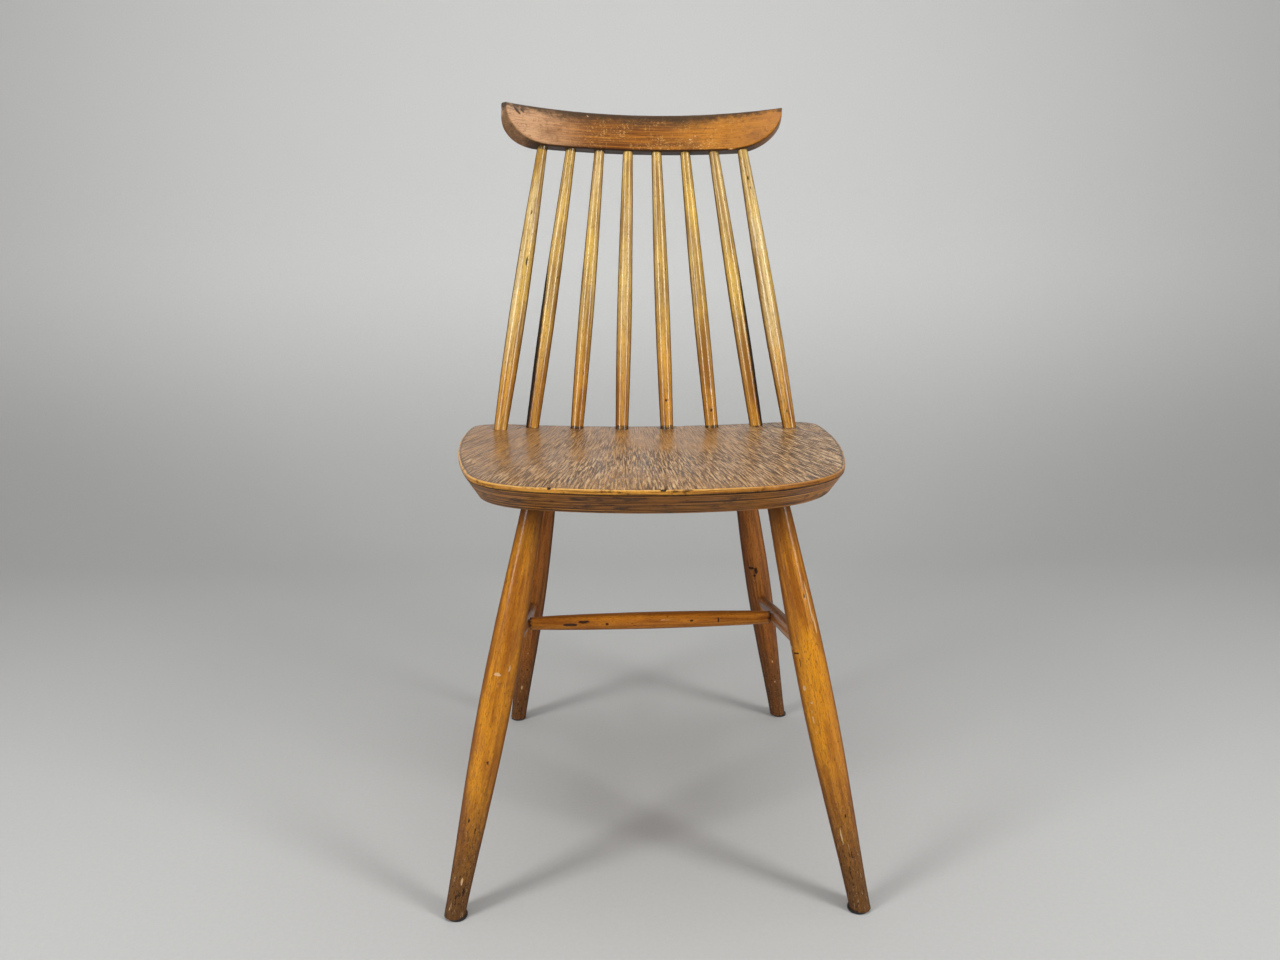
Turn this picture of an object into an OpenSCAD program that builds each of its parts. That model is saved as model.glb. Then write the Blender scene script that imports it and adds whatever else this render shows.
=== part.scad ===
// Spindle-back chair in worn, varnished wood.
// Millimetres, +Z up, +X to the sitter's left, the sitter faces -Y.
// Origin: on the floor, under the middle of the chair's bounding box.
// All joints are glued: every leg, spindle and stretcher ends in a plain round tenon in a blind round socket.

/* [Seat] */
// Height of the seat's rim above the floor
seat_h = 439.3; // [400:0.1:480]
// Width across the widest place
seat_w = 438; // [360:1:530]
// Depth from the front edge to the rear edge, on the middle line
seat_d = 419; // [350:1:505]
// Thickness at the rim, top sheet and base together
seat_t = 27.7; // [24:0.1:34]
// Thickness of the moulded top sheet
panel_t = 5.2; // [4:0.1:7]
// How far the widest place lies behind the middle of the seat
widest_y = 115; // [60:1:130]
// Plan radius of the front edge
front_r = 410; // [340:5:600]
// Plan radius of each side
side_r = 860; // [700:10:1200]
// Plan radius of the rear edge
rear_r = 1350; // [900:10:2000]
// Plan radius of the front corner on the -X side
front_left_r = 96; // [70:1:150]
// Plan radius of the front corner on the +X side, which is worn rounder
front_right_r = 138; // [70:1:150]
// Plan radius of the rear corners
rear_corner_r = 52; // [40:1:65]
// How far the bevel under the front edge runs in
bevel_front = 23; // [15:1:30]
// How far the bevel under the sides runs in
bevel_side = 14; // [8:1:22]
// How far the bevel under the rear edge runs in
bevel_rear = 12; // [8:1:20]
// Depth of the saddle at the rear, on the middle line
dish = 9.6; // [0:0.1:11]
// Length over which the saddle fades in, from the front edge
dish_fade = 260; // [150:5:340]
// Worn round on the top sheet's upper edge
rim_round = 1.6; // [0.5:0.1:2.4]

/* [Legs] */
// Largest diameter
leg_d = 32.5; // [28:0.1:42]
// Diameter at the floor
leg_foot_d = 20.8; // [17:0.1:25]
// Diameter of the tenon in the seat
leg_tenon_d = 22; // [18:0.1:26]
// Wood left between the end of a leg's socket and the seat panel where the saddle is deepest
leg_cover = 1.9; // [1.5:0.1:6]
// Height of the thickest place, as a share of the leg
leg_belly = 0.52; // [0.4:0.01:0.65]
// Front leg sockets, in from the side of the seat
front_leg_in_x = 100.2; // [80:0.1:120]
// Front leg sockets, back from the front edge
front_leg_in_y = 82.2; // [60:0.1:110]
// Rear leg sockets, in from the side of the seat
rear_leg_in_x = 101.2; // [80:0.1:120]
// Rear leg sockets, forward from the rear edge
rear_leg_in_y = 53.4; // [45:0.1:90]
// Outward lean of the front legs, in degrees
front_splay = 11.7; // [6:0.05:14]
// Forward lean of the front legs, in degrees
front_rake = 8.96; // [4:0.01:12]
// Outward lean of the rear legs, in degrees
rear_splay = 9.65; // [5:0.01:13]
// Backward lean of the rear legs, in degrees
rear_rake = 12.08; // [6:0.01:15]
// How far the rear feet have racked to one side with age
rear_rack = 7; // [0:0.5:10]

/* [Glides] */
// Diameter of the nailed glide under each foot
glide_d = 20.6; // [17:0.1:24]
// Thickness of the glide
glide_t = 2.6; // [2:0.1:5]
// Bevel round the glide's lower edge
glide_bevel = 0.7; // [0.3:0.1:1.2]
// Diameter of the glide's nail
nail_d = 3; // [2:0.1:4]
// Length of the nail above the glide
nail_l = 13; // [8:0.5:18]
// How far the front glides are knocked inward
front_glide_shift = 2.3; // [0:0.1:3]
// How far the rear glide on the +X side is knocked outward
rear_glide_shift = 2; // [0:0.1:3]

/* [Stretchers] */
// Height where the side stretchers meet the front legs
stretcher_front_z = 263; // [220:1:300]
// Height where the side stretchers meet the rear legs
stretcher_rear_z = 190; // [150:1:230]
// How much lower the side stretcher on the -X side was bored
left_drop = 5; // [0:0.5:8]
// Diameter of a side stretcher at its middle
side_str_d = 17.8; // [15:0.1:21]
// Diameter of the side stretchers' tenons
side_tenon_d = 12.6; // [10:0.1:15]
// How far these tenons pass the leg's axis
side_tenon_past = 4; // [0:0.5:7]
// Place of the cross stretcher, as a share of the side stretchers from the rear
cross_at = 0.43; // [0.3:0.01:0.6]
// Diameter of the cross stretcher at its middle
cross_d = 20.4; // [17:0.1:24]
// Diameter of the cross stretcher beside its shoulders
cross_end_d = 14.8; // [12:0.1:16.5]
// Diameter of the cross stretcher's tenons
cross_tenon_d = 10; // [8:0.1:11]
// How far these tenons pass the side stretcher's axis
cross_tenon_past = 2; // [0:0.5:4]

/* [Spindles] */
// Largest diameter of the inner spindles
spindle_d = 19.4; // [15:0.1:22]
// Extra thickness of the outermost pair
outer_extra = 1.8; // [0:0.1:2.5]
// Diameter where a spindle enters the seat
spindle_foot_d = 16.8; // [13:0.1:18.5]
// Diameter where a spindle enters the crest rail
spindle_head_d = 13.1; // [10:0.1:14.5]
// Place of the thickest part, as a share of the height between seat and crest rail
spindle_belly = 0.38; // [0.3:0.01:0.5]
// Depth of the spindle sockets below the seat's surface
foot_socket = 13.5; // [9:0.5:15]
// Depth of the spindle sockets in the crest rail
head_socket = 20; // [12:0.5:26]
// Outermost spindle feet, in from the side of the seat
spindle_in_x = 36.9; // [34:0.1:50]
// Middle spindle feet, forward from the rear edge
spindle_in_y = 19.8; // [16:0.1:26]
// How far the outermost feet stand forward of the middle ones
spindle_corner = 35; // [20:1:45]
// Place of each foot from the middle outwards, as a share of the outermost one's
spindle_shares = [0.16, 0.48, 0.793, 1]; // [0:0.001:1]

/* [Crest rail] */
// Height of the rail's lower edge above the floor, on the middle line
crest_z = 778; // [700:0.1:860]
// Height of the rail along its own face
crest_h = 45.5; // [40:0.5:56]
// Thickness
crest_t = 20; // [17:0.1:24]
// Length along the rail's middle line
crest_len = 356; // [300:1:420]
// Plan radius of the rail's middle line
crest_r = 410; // [340:5:600]
// Backward lean, in degrees
crest_lean = 12; // [5:0.1:18]
// Lift of the -X end from glue-up, in degrees
crest_skew = 1.3; // [0:0.05:2]
// How far the rail sits towards the -X side of the chair's middle
crest_shift = 2; // [0:0.5:4]
// How far the rail's lower edge lies behind the seat's middle, on the middle line
crest_y = 259.4; // [200:0.1:290]
// Length of the long round at each lower corner
corner_run = 60; // [40:1:75]
// Height of the long round at each lower corner
corner_rise = 44; // [30:0.5:44]
// How much lower the -X corner's round runs at the back than at the front
left_slant = 10; // [0:0.5:14]
// How much further the +X end reaches at the front than at the back
right_cut = 6; // [0:0.5:9]
// How much higher the top edge stands at the back than at the front
top_slant = 4; // [0:0.1:5]
// Fall of the top edge towards its ends
crest_crown = 1; // [0:0.1:4]
// Fall of the lower edge towards its ends, before the corners' rounds
crest_belly = 4; // [0:0.1:6]
// Round on the rail's long edges
crest_round = 3.2; // [1:0.1:5]
// Distance along the rail from its end to the outermost spindle, were the rail central
crest_margin = 48.9; // [44:0.1:60]

/* [Fit] */
// Glue gap round every tenon and nail
glue = 0.1; // [0.05:0.01:0.2]
// Glue gap at the end of every tenon and nail
end_gap = 0.3; // [0.2:0.05:0.6]

/* [Hidden] */

$fn = 72;
// Shortest straight stretch that a tenon keeps outside its socket's mouth
lead = 3;
// Steps along each half of a turned profile, and along each arc of the seat's outline
turned_steps = 14;
arc_steps = 9;
// Rings of the seat's surface, as shares of the way from its centre to its rim
rings = [0.2, 0.42, 0.62, 0.8, 0.92];

under_z = seat_h - seat_t;
// Depth of the leg sockets in the seat's underside
leg_socket = seat_t - panel_t - dish - leg_cover;
front_y = -seat_d / 2;
rear_y = seat_d / 2;
half_w = seat_w / 2;

// The depth of the whole chair runs from the seat's front edge to the back of the crest rail's top
crest_back = crest_y + (crest_h + top_slant - crest_round) * sin(crest_lean)
    + (crest_t / 2 - crest_round) * cos(crest_lean) + crest_round;
centre_y = (front_y + crest_back) / 2;

// ---- small geometry helpers ----

function mix(a, b, t) = a + (b - a) * t;
function clamp01(v) = min(max(v, 0), 1);
function flat(lists) = [for (l = lists) each l];
function polar(c, r, a) = [c.x + r * cos(a), c.y + r * sin(a)];
function bearing(from, to) = atan2(to.y - from.y, to.x - from.x);

// Centre of the round that blends two arcs: the meeting point of two circles, on the +X side
function blend_centre(c1, r1, c2, r2, side) =
    let (d = norm(c2 - c1),
         a = (r1 * r1 - r2 * r2 + d * d) / (2 * d),
         h = sqrt(max(r1 * r1 - a * a, 0)),
         u = (c2 - c1) / d)
    c1 + a * u + side * h * [-u.y, u.x];

// Point at a given height on the line from p to q
function at_height(p, q, z) = mix(p, q, (z - p.z) / (q.z - p.z));

// Puts a child's +Z along the line from p to q, its origin at p
module along(p, q) {
    d = q - p;
    translate(p) rotate([0, acos(d.z / norm(d)), atan2(d.y, d.x)]) children();
}

// A straight round socket or tenon on the line from p towards q, between two distances from p
module rod(p, q, from, to, d) {
    along(p, q) translate([0, 0, from]) cylinder(d = d, h = to - from);
}

// ---- seat outline ----

// Right half of the outline from front to rear, each arc tangent to the next, moved in by three amounts
function half_outline(corner_r, in_front, in_side, in_rear) =
    let (rf = front_r - in_front,
         rs = side_r - in_side,
         rr = rear_r - in_rear,
         cf = [0, front_y + front_r],
         cs = [half_w - side_r, widest_y],
         cr = [0, rear_y - rear_r],
         fc = corner_r - (in_front + in_side) / 2,
         rc = rear_corner_r - (in_rear + in_side) / 2,
         kf = blend_centre(cf, rf - fc, cs, rs - fc, 1),
         kr = blend_centre(cs, rs - rc, cr, rr - rc, 1),
         a1 = bearing(cf, kf),
         a2 = bearing(cs, kf),
         a3 = bearing(cs, kr),
         a4 = bearing(cr, kr),
         n = arc_steps)
    flat([
        [for (i = [0 : n - 1]) polar(cf, rf, mix(-90, a1, i / n))],
        [for (i = [0 : n - 1]) polar(kf, fc, mix(a1, a2, i / n))],
        [for (i = [0 : n - 1]) polar(cs, rs, mix(a2, a3, i / n))],
        [for (i = [0 : n - 1]) polar(kr, rc, mix(a3, a4, i / n))],
        [for (i = [0 : n - 1]) polar(cr, rr, mix(a4, 90, i / n))],
        [[0, rear_y - in_rear]]
    ]);

// Whole outline, anticlockwise seen from above
function outline(in_front, in_side, in_rear) =
    let (right = half_outline(front_right_r, in_front, in_side, in_rear),
         left = half_outline(front_left_r, in_front, in_side, in_rear))
    flat([right, [for (i = [len(left) - 2 : -1 : 1]) [-left[i].x, left[i].y]]]);

function parallel_outline(inset) = outline(inset, inset, inset);

// ---- seat surface ----

function saddle(x, y) =
    dish * (1 - cos(180 * clamp01((y - front_y) / dish_fade))) / 2 * max(1 - pow(x / half_w, 2), 0);
function top_z(x, y) = seat_h - saddle(x, y);

seat_mid = [0, widest_y / 4];

function shrink(loop, share) = [for (p = loop) mix(seat_mid, p, share)];
function on_surface(loop, drop) = [for (p = loop) [p.x, p.y, top_z(p.x, p.y) - drop]];
function at_level(loop, z) = [for (p = loop) [p.x, p.y, z]];

// A closed body through stacked loops of equal length, with a point at its lower and at its upper end.
// downhill turns each face's diagonal round, so that two bodies can share a surface that they meet from both sides.
module loft(low, loops, high, downhill = false) {
    n = len(loops[0]);
    m = len(loops);
    first = 1;
    tip = 1 + n * m;
    polyhedron(
        points = flat([[low], flat(loops), [high]]),
        faces = flat([
            [for (i = [0 : n - 1]) [0, first + i, first + (i + 1) % n]],
            [for (k = [0 : m - 2], i = [0 : n - 1])
                let (a = first + k * n, b = a + n, j = (i + 1) % n)
                downhill ? [a + i, b + i, b + j] : [a + i, b + i, a + j]],
            [for (k = [0 : m - 2], i = [0 : n - 1])
                let (a = first + k * n, b = a + n, j = (i + 1) % n)
                downhill ? [a + i, b + j, a + j] : [a + j, b + i, b + j]],
            [for (i = [0 : n - 1]) [tip, tip - n + (i + 1) % n, tip - n + i]]
        ]),
        convexity = 4
    );
}

function surface_rings(inset, drop) = [for (s = rings) on_surface(shrink(parallel_outline(inset), s), drop)];
function reversed(list) = [for (i = [len(list) - 1 : -1 : 0]) list[i]];
function surface_centre(drop) = [seat_mid.x, seat_mid.y, top_z(seat_mid.x, seat_mid.y) - drop];

module panel_blank() {
    soft = rim_round * (1 - cos(45));
    loft(
        surface_centre(panel_t),
        flat([
            surface_rings(0, panel_t),
            [on_surface(parallel_outline(0), panel_t),
             on_surface(parallel_outline(0), rim_round),
             on_surface(parallel_outline(soft), soft),
             on_surface(parallel_outline(rim_round), 0)],
            reversed(surface_rings(rim_round, 0))
        ]),
        surface_centre(0)
    );
}

module base_blank() {
    loft(
        [seat_mid.x, seat_mid.y, under_z],
        flat([
            [at_level(outline(bevel_front, bevel_side, bevel_rear), under_z),
             on_surface(parallel_outline(0), panel_t)],
            reversed(surface_rings(0, panel_t))
        ]),
        surface_centre(panel_t),
        downhill = true
    );
}

// ---- legs, where they stand ----

// side is -1 or 1, and the top lies on the seat base's underside
function leg_top(front, side) = front
    ? [side * (half_w - front_leg_in_x), front_y + front_leg_in_y, under_z]
    : [side * (half_w - rear_leg_in_x), rear_y - rear_leg_in_y, under_z];
function leg_foot(front, side) =
    let (top = leg_top(front, side))
    front
    ? [top.x + side * under_z * tan(front_splay), top.y - under_z * tan(front_rake), 0]
    : [top.x + side * under_z * tan(rear_splay) + rear_rack, top.y + under_z * tan(rear_rake), 0];

// Radius of a leg at a share t of its length: a long swelling, thickest at leg_belly
function leg_r(t) = t < leg_belly
    ? mix(leg_foot_d, leg_d, pow(sin(90 * clamp01(t / leg_belly)), 1.5)) / 2
    : mix(leg_tenon_d, leg_d, pow(cos(90 * clamp01((t - leg_belly) / (1 - leg_belly))), 1.2)) / 2;

// A quarter turn keeps the turning's seam clear of the foot's lowest side, where the level cut ends it
module leg_blank(front, side) {
    foot = leg_foot(front, side);
    top = leg_top(front, side);
    l = norm(top - foot);
    neck = 1 - lead * 1.4 / l;
    along(foot, top) rotate([0, 0, 90]) rotate_extrude() polygon(flat([
        [[0, -lead * 2], [leg_foot_d / 2, -lead * 2]],
        [for (i = [0 : turned_steps]) let (t = leg_belly * i / turned_steps) [leg_r(t), t * l]],
        [for (i = [1 : turned_steps]) let (t = mix(leg_belly, neck, i / turned_steps))
            [i == turned_steps ? leg_tenon_d / 2 : leg_r(t), t * l]],
        [[leg_tenon_d / 2, l + leg_socket - end_gap], [0, l + leg_socket - end_gap]]
    ]));
}

module leg(front, side) {
    color(front ? "peru" : "sienna") difference() {
        leg_blank(front, side);
        side_socket(front, side);
        foot_trim(leg_foot(front, side));
        nail_hole(front, side);
    }
}

// Everything below the glide's top face, so that the foot is cut level
module foot_trim(foot) {
    translate([foot.x - leg_d, foot.y - leg_d, -leg_d]) cube([2 * leg_d, 2 * leg_d, leg_d + glide_t]);
}

// ---- glides ----

function glide_shift(front, side) = front ? -side * front_glide_shift : (side > 0 ? rear_glide_shift : 0);
function glide_at(front, side) =
    let (foot = at_height(leg_foot(front, side), leg_top(front, side), glide_t))
    [foot.x + glide_shift(front, side), foot.y, 0];

module nail_hole(front, side) {
    translate(glide_at(front, side)) cylinder(d = nail_d + 2 * glue, h = glide_t + nail_l + end_gap);
}

module glide(front, side) {
    r = glide_d / 2;
    color([0.1, 0.1, 0.1]) translate(glide_at(front, side)) rotate_extrude() polygon([
        [0, 0], [r - glide_bevel, 0], [r, glide_bevel], [r, glide_t],
        [nail_d / 2, glide_t], [nail_d / 2, glide_t + nail_l], [0, glide_t + nail_l]
    ]);
}

// ---- stretchers ----

function drop(side) = side < 0 ? left_drop : 0;
function side_rear(side) = at_height(leg_foot(false, side), leg_top(false, side), stretcher_rear_z - drop(side));
function side_front(side) = at_height(leg_foot(true, side), leg_top(true, side), stretcher_front_z - drop(side));
function cross_point(side) = mix(side_rear(side), side_front(side), cross_at);

// Swelling of a stretcher from its ends to its middle, t from 0 to 1
function swell(t) = pow(sin(180 * clamp01(t)), 0.7);

// A turned bar of length l, plain for end at each end, with tenons that run past both ends
module turned_bar(l, tenon_d, past, plain, end_d, mid_d) {
    steps = 2 * turned_steps;
    rotate_extrude() polygon(flat([
        [[0, -past], [tenon_d / 2, -past], [tenon_d / 2, plain]],
        [for (i = [0 : steps]) [mix(end_d, mid_d, swell(i / steps)) / 2, mix(plain, l - plain, i / steps)]],
        [[tenon_d / 2, l - plain], [tenon_d / 2, l + past], [0, l + past]]
    ]));
}

module side_socket(front, side) {
    from = front ? side_front(side) : side_rear(side);
    to = front ? side_rear(side) : side_front(side);
    rod(from, to, -side_tenon_past - end_gap, leg_d, side_tenon_d + 2 * glue);
}

module side_stretcher(side) {
    a = side_rear(side);
    b = side_front(side);
    color("saddlebrown") difference() {
        along(a, b)
            turned_bar(norm(b - a), side_tenon_d, side_tenon_past, leg_d / 2 + lead, side_tenon_d, side_str_d);
        rod(cross_point(side), cross_point(-side), -cross_tenon_past - end_gap, side_str_d,
            cross_tenon_d + 2 * glue);
    }
}

module cross_stretcher() {
    a = cross_point(-1);
    b = cross_point(1);
    color("chocolate") along(a, b)
        turned_bar(norm(b - a), cross_tenon_d, cross_tenon_past, side_str_d / 2 + end_gap, cross_end_d, cross_d);
}

// ---- crest rail ----

crest_half = crest_len / 2;
// How far s is into a corner's round, from 0 to 1
function crest_over(s) = max(abs(s) - (crest_half - corner_run), 0) / corner_run;
// Lower and upper edge at s along the rail; back runs from 0 at the front face to 1 at the back
function crest_low(s, back) =
    let (over = crest_over(s))
    corner_rise * (1 - sqrt(max(1 - over * over, 0))) - crest_belly * pow(s / crest_half, 2)
        - (s < 0 ? back * left_slant * over : 0);
function crest_high(s, back) = crest_h - crest_crown * pow(s / crest_half, 2) + back * top_slant;

// Where the section at s stands at a depth of out, after the slanted cut of the +X end
function crest_cut(s, out) = s + (s > 0 ? (0.5 - out / crest_t) * right_cut * crest_over(s) : 0);

// A point of the rail: s along it, out from its middle line towards the back, and up its face
function crest_at(s, out, up) =
    let (a = s / crest_r * 180 / PI,
         y = (crest_r + out) * cos(a) - crest_r,
         leaned = [(crest_r + out) * sin(a),
                   y * cos(crest_lean) + up * sin(crest_lean),
                   up * cos(crest_lean) - y * sin(crest_lean)])
    [leaned.x * cos(crest_skew) + leaned.z * sin(crest_skew) - crest_shift,
     leaned.y + crest_y,
     leaned.z * cos(crest_skew) - leaned.x * sin(crest_skew) + crest_z];

// Places of the sections along the rail: even over the middle, closer together round the corners
corner_places = [for (a = [9 : 9 : 90]) crest_half - corner_run + corner_run * sin(a)];
middle_places = [for (i = [-6 : 6]) (crest_half - corner_run) * i / 6];
crest_places = flat([[for (s = reversed(corner_places)) -s], middle_places, corner_places]);

// One section: four rounded corners joined by straight sides, as a loop of points
function crest_section(s) =
    let (low = [crest_low(s, 0), crest_low(s, 1)],
         high = [crest_high(s, 0), crest_high(s, 1)],
         r = min(crest_round, (high[0] - low[0]) * 0.45),
         w = crest_t / 2 - r,
         under = 270 - atan2(low[0] - low[1], 2 * w),
         over = 90 + atan2(high[1] - high[0], 2 * w))
    flat([for (q = [[-w, high[0] - r, over, 180], [-w, low[0] + r, 180, under],
                    [w, low[1] + r, under, 360], [w, high[1] - r, 0, over]])
        [for (k = [0 : 3]) let (a = mix(q[2], q[3], k / 3), out = q.x + r * cos(a))
            crest_at(crest_cut(s, out), out, q.y + r * sin(a))]]);

function crest_end(s) = crest_at(crest_cut(s, 0), 0, (crest_low(s, 0.5) + crest_high(s, 0.5)) / 2);

module crest_blank() {
    sections = [for (s = crest_places) crest_section(s)];
    loft(crest_end(-crest_half), sections, crest_end(crest_half));
}

module crest_rail() {
    color("sienna") difference() {
        crest_blank();
        for (i = [1 : 8]) rod(spindle_head(i), spindle_foot(i), -head_socket, crest_t, spindle_head_d + 2 * glue);
    }
}

// ---- spindles, numbered 1 to 8 from -X to +X ----

crest_pitch = (crest_len - 2 * crest_margin) / 7;
function spindle_side(i) = i < 5 ? -1 : 1;
function spindle_rank(i) = i < 5 ? 4 - i : i - 5;
function spindle_foot(i) =
    let (share = spindle_shares[spindle_rank(i)],
         x = spindle_side(i) * share * (half_w - spindle_in_x),
         y = rear_y - spindle_in_y - spindle_corner * pow(share, 8))
    [x, y, top_z(x, y)];
function spindle_head(i) =
    let (s = (i - 4.5) * crest_pitch + crest_shift)
    crest_at(s, 0, crest_low(s, 0.5));
function spindle_r(t, extra) =
    let (thick = spindle_d + extra)
    (t < spindle_belly
        ? mix(spindle_foot_d, thick, sin(90 * clamp01(t / spindle_belly)))
        : mix(spindle_head_d, thick, pow(cos(90 * clamp01((t - spindle_belly) / (1 - spindle_belly))), 1.1))) / 2;

module spindle(i) {
    foot = spindle_foot(i);
    head = spindle_head(i);
    l = norm(head - foot);
    extra = spindle_rank(i) == 3 ? outer_extra : 0;
    low = lead / l;
    high = 1 - lead / l;
    color("goldenrod") along(foot, head) rotate_extrude() polygon(flat([
        [[0, end_gap - foot_socket], [spindle_foot_d / 2, end_gap - foot_socket]],
        [for (k = [0 : turned_steps]) let (t = mix(low, spindle_belly, k / turned_steps))
            [k == 0 ? spindle_foot_d / 2 : spindle_r(t, extra), t * l]],
        [for (k = [1 : turned_steps]) let (t = mix(spindle_belly, high, k / turned_steps))
            [k == turned_steps ? spindle_head_d / 2 : spindle_r(t, extra), t * l]],
        [[spindle_head_d / 2, l + head_socket - end_gap], [0, l + head_socket - end_gap]]
    ]));
}

module spindle_sockets() {
    for (i = [1 : 8]) rod(spindle_foot(i), spindle_head(i), -foot_socket, seat_t, spindle_foot_d + 2 * glue);
}

// ---- seat ----

module seat_panel() {
    color("rosybrown") difference() {
        panel_blank();
        spindle_sockets();
    }
}

module seat_base() {
    color("saddlebrown") difference() {
        base_blank();
        spindle_sockets();
        for (front = [true, false], side = [-1, 1])
            rod(leg_top(front, side), leg_foot(front, side), -leg_socket, seat_t, leg_tenon_d + 2 * glue);
    }
}

module chair_frame() {
    translate([0, -centre_y, 0]) children();
}

chair_frame() seat_panel();
chair_frame() seat_base();
chair_frame() crest_rail();
for (i = [1 : 8]) chair_frame() spindle(i);
chair_frame() leg(true, -1);  // leg_front_left
chair_frame() leg(true, 1);  // leg_front_right
chair_frame() leg(false, -1);  // leg_rear_left
chair_frame() leg(false, 1);  // leg_rear_right
chair_frame() side_stretcher(-1);  // side_stretcher_left
chair_frame() side_stretcher(1);  // side_stretcher_right
chair_frame() cross_stretcher();
chair_frame() glide(true, -1);  // glide_front_left
chair_frame() glide(true, 1);  // glide_front_right
chair_frame() glide(false, -1);  // glide_rear_left
chair_frame() glide(false, 1);  // glide_rear_right
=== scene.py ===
"""Worn spindle-back chair: the finish of every piece, built round its fixed frame."""

import bisect
import functools
import math
import random

import bmesh
import bpy
from mathutils import Matrix, Vector, geometry, noise


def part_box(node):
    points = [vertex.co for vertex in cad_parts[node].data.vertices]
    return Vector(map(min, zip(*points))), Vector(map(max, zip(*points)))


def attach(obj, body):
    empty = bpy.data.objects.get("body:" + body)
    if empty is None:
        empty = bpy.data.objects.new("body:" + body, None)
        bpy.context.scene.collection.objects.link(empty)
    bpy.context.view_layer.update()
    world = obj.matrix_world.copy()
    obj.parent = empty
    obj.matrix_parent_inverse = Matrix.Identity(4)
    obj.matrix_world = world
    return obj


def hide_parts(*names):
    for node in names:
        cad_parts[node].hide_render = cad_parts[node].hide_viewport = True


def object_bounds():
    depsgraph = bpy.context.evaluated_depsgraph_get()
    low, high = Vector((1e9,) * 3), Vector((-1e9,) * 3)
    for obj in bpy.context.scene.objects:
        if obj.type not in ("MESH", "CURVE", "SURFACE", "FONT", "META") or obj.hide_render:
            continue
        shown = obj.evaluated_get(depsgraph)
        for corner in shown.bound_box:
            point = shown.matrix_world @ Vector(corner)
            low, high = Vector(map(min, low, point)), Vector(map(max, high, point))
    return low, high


bl_info = {
    "name": "Worn Spindle Chair",
    "version": (1, 0, 0),
    "blender": (4, 5, 0),
    "location": "View3D > Sidebar > Chair",
    "description": "Builds the worn varnished pieces of a spindle-back chair on its frame",
    "category": "Object",
}

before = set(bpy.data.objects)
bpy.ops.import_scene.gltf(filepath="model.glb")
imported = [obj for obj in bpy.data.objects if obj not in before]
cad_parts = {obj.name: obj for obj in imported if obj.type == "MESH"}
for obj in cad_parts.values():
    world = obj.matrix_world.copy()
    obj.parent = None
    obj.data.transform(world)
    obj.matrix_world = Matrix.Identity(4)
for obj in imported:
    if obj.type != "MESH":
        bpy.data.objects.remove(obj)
CAD_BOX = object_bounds()

BODY = "root"
# Corners nearer than this are one corner of the frame's loose triangles
WELD = 2e-6
# A ring of a turned frame piece has at least this many corners
RING_CORNERS = 20
# A change of slope past this is a shoulder, which stays sharp
SHOULDER = 0.12
# Faces that meet at a larger angle than this keep a sharp edge
SHARP = math.radians(50)
# Corners of a turned piece's end disc lie within this of its plane
DISC_DEPTH = 4e-4
# A corner nearer the axis than this is the middle of an end disc
ON_AXIS = 1e-4
# Corners of one ring lie within these of each other, along the axis and in radius
RING_GAP, RADIUS_GAP = 2e-5, 6e-5
# Corners of the seat's top look up by at least this much
LOOKING_UP = 0.97
# Depths of the side and cross stretchers' hidden ends, along their long ways
SIDE_TENON, CROSS_TENON = 0.020, 0.011
# Where the spindles' dirt starts: below the seat's highest point and above the rail's lowest
SEAT_SINK, RAIL_SINK = 0.007, 0.004
# Legs are turned this much past their feet, before the feet are cut level
FOOT_SPARE = 0.03
GLIDE_STEP, GLIDE_SEGMENTS = 0.0008, 64
SPINDLES = [f"spindle_{i}" for i in range(1, 9)]
CORNERS = ["front_left", "front_right", "rear_left", "rear_right"]


# ---- what a user may change ----

def a_number(name, description, default, **limits):
    return bpy.props.FloatProperty(name=name, description=description, default=default, **limits)


def a_length(name, description, default, **limits):
    return a_number(name, description, default, unit="LENGTH", **limits)


def an_angle(name, description, degrees):
    return a_number(name, description, math.radians(degrees), unit="ROTATION")


def a_count(name, description, default, least):
    return bpy.props.IntProperty(name=name, description=description, default=default, min=least)


def a_colour(name, description, default):
    return bpy.props.FloatVectorProperty(
        name=name, description=description, subtype="COLOR", size=3, min=0, max=1, default=default)


class TurningSettings(bpy.types.PropertyGroup):
    """Sizes of the turned pieces' surfaces."""
    step: a_length("Ring spacing", "Distance between the rings of a turned piece", 0.0016, min=0.0005)
    around: a_count("Segments", "Segments round a leg", 88, 24)
    unevenness: a_length("Unevenness", "Height of the waves that sanding leaves", 0.00012)
    dent_depth: a_length("Dent depth", "Depth of the deepest small dents", 0.0005)


class SeatSettings(bpy.types.PropertyGroup):
    """Shape of the seat between its outlines."""
    dish_fade: a_length("Dish run", "Distance from the front edge to the full depth of the dish", 0.26)
    rim_round: a_length("Rim round", "Round on the panel's upper edge", 0.0019)
    around: a_count("Segments", "Segments round the outline", 960, 90)
    seam: a_length("Seam", "Depth of the worn seam under the panel", 0.0005)


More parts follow.
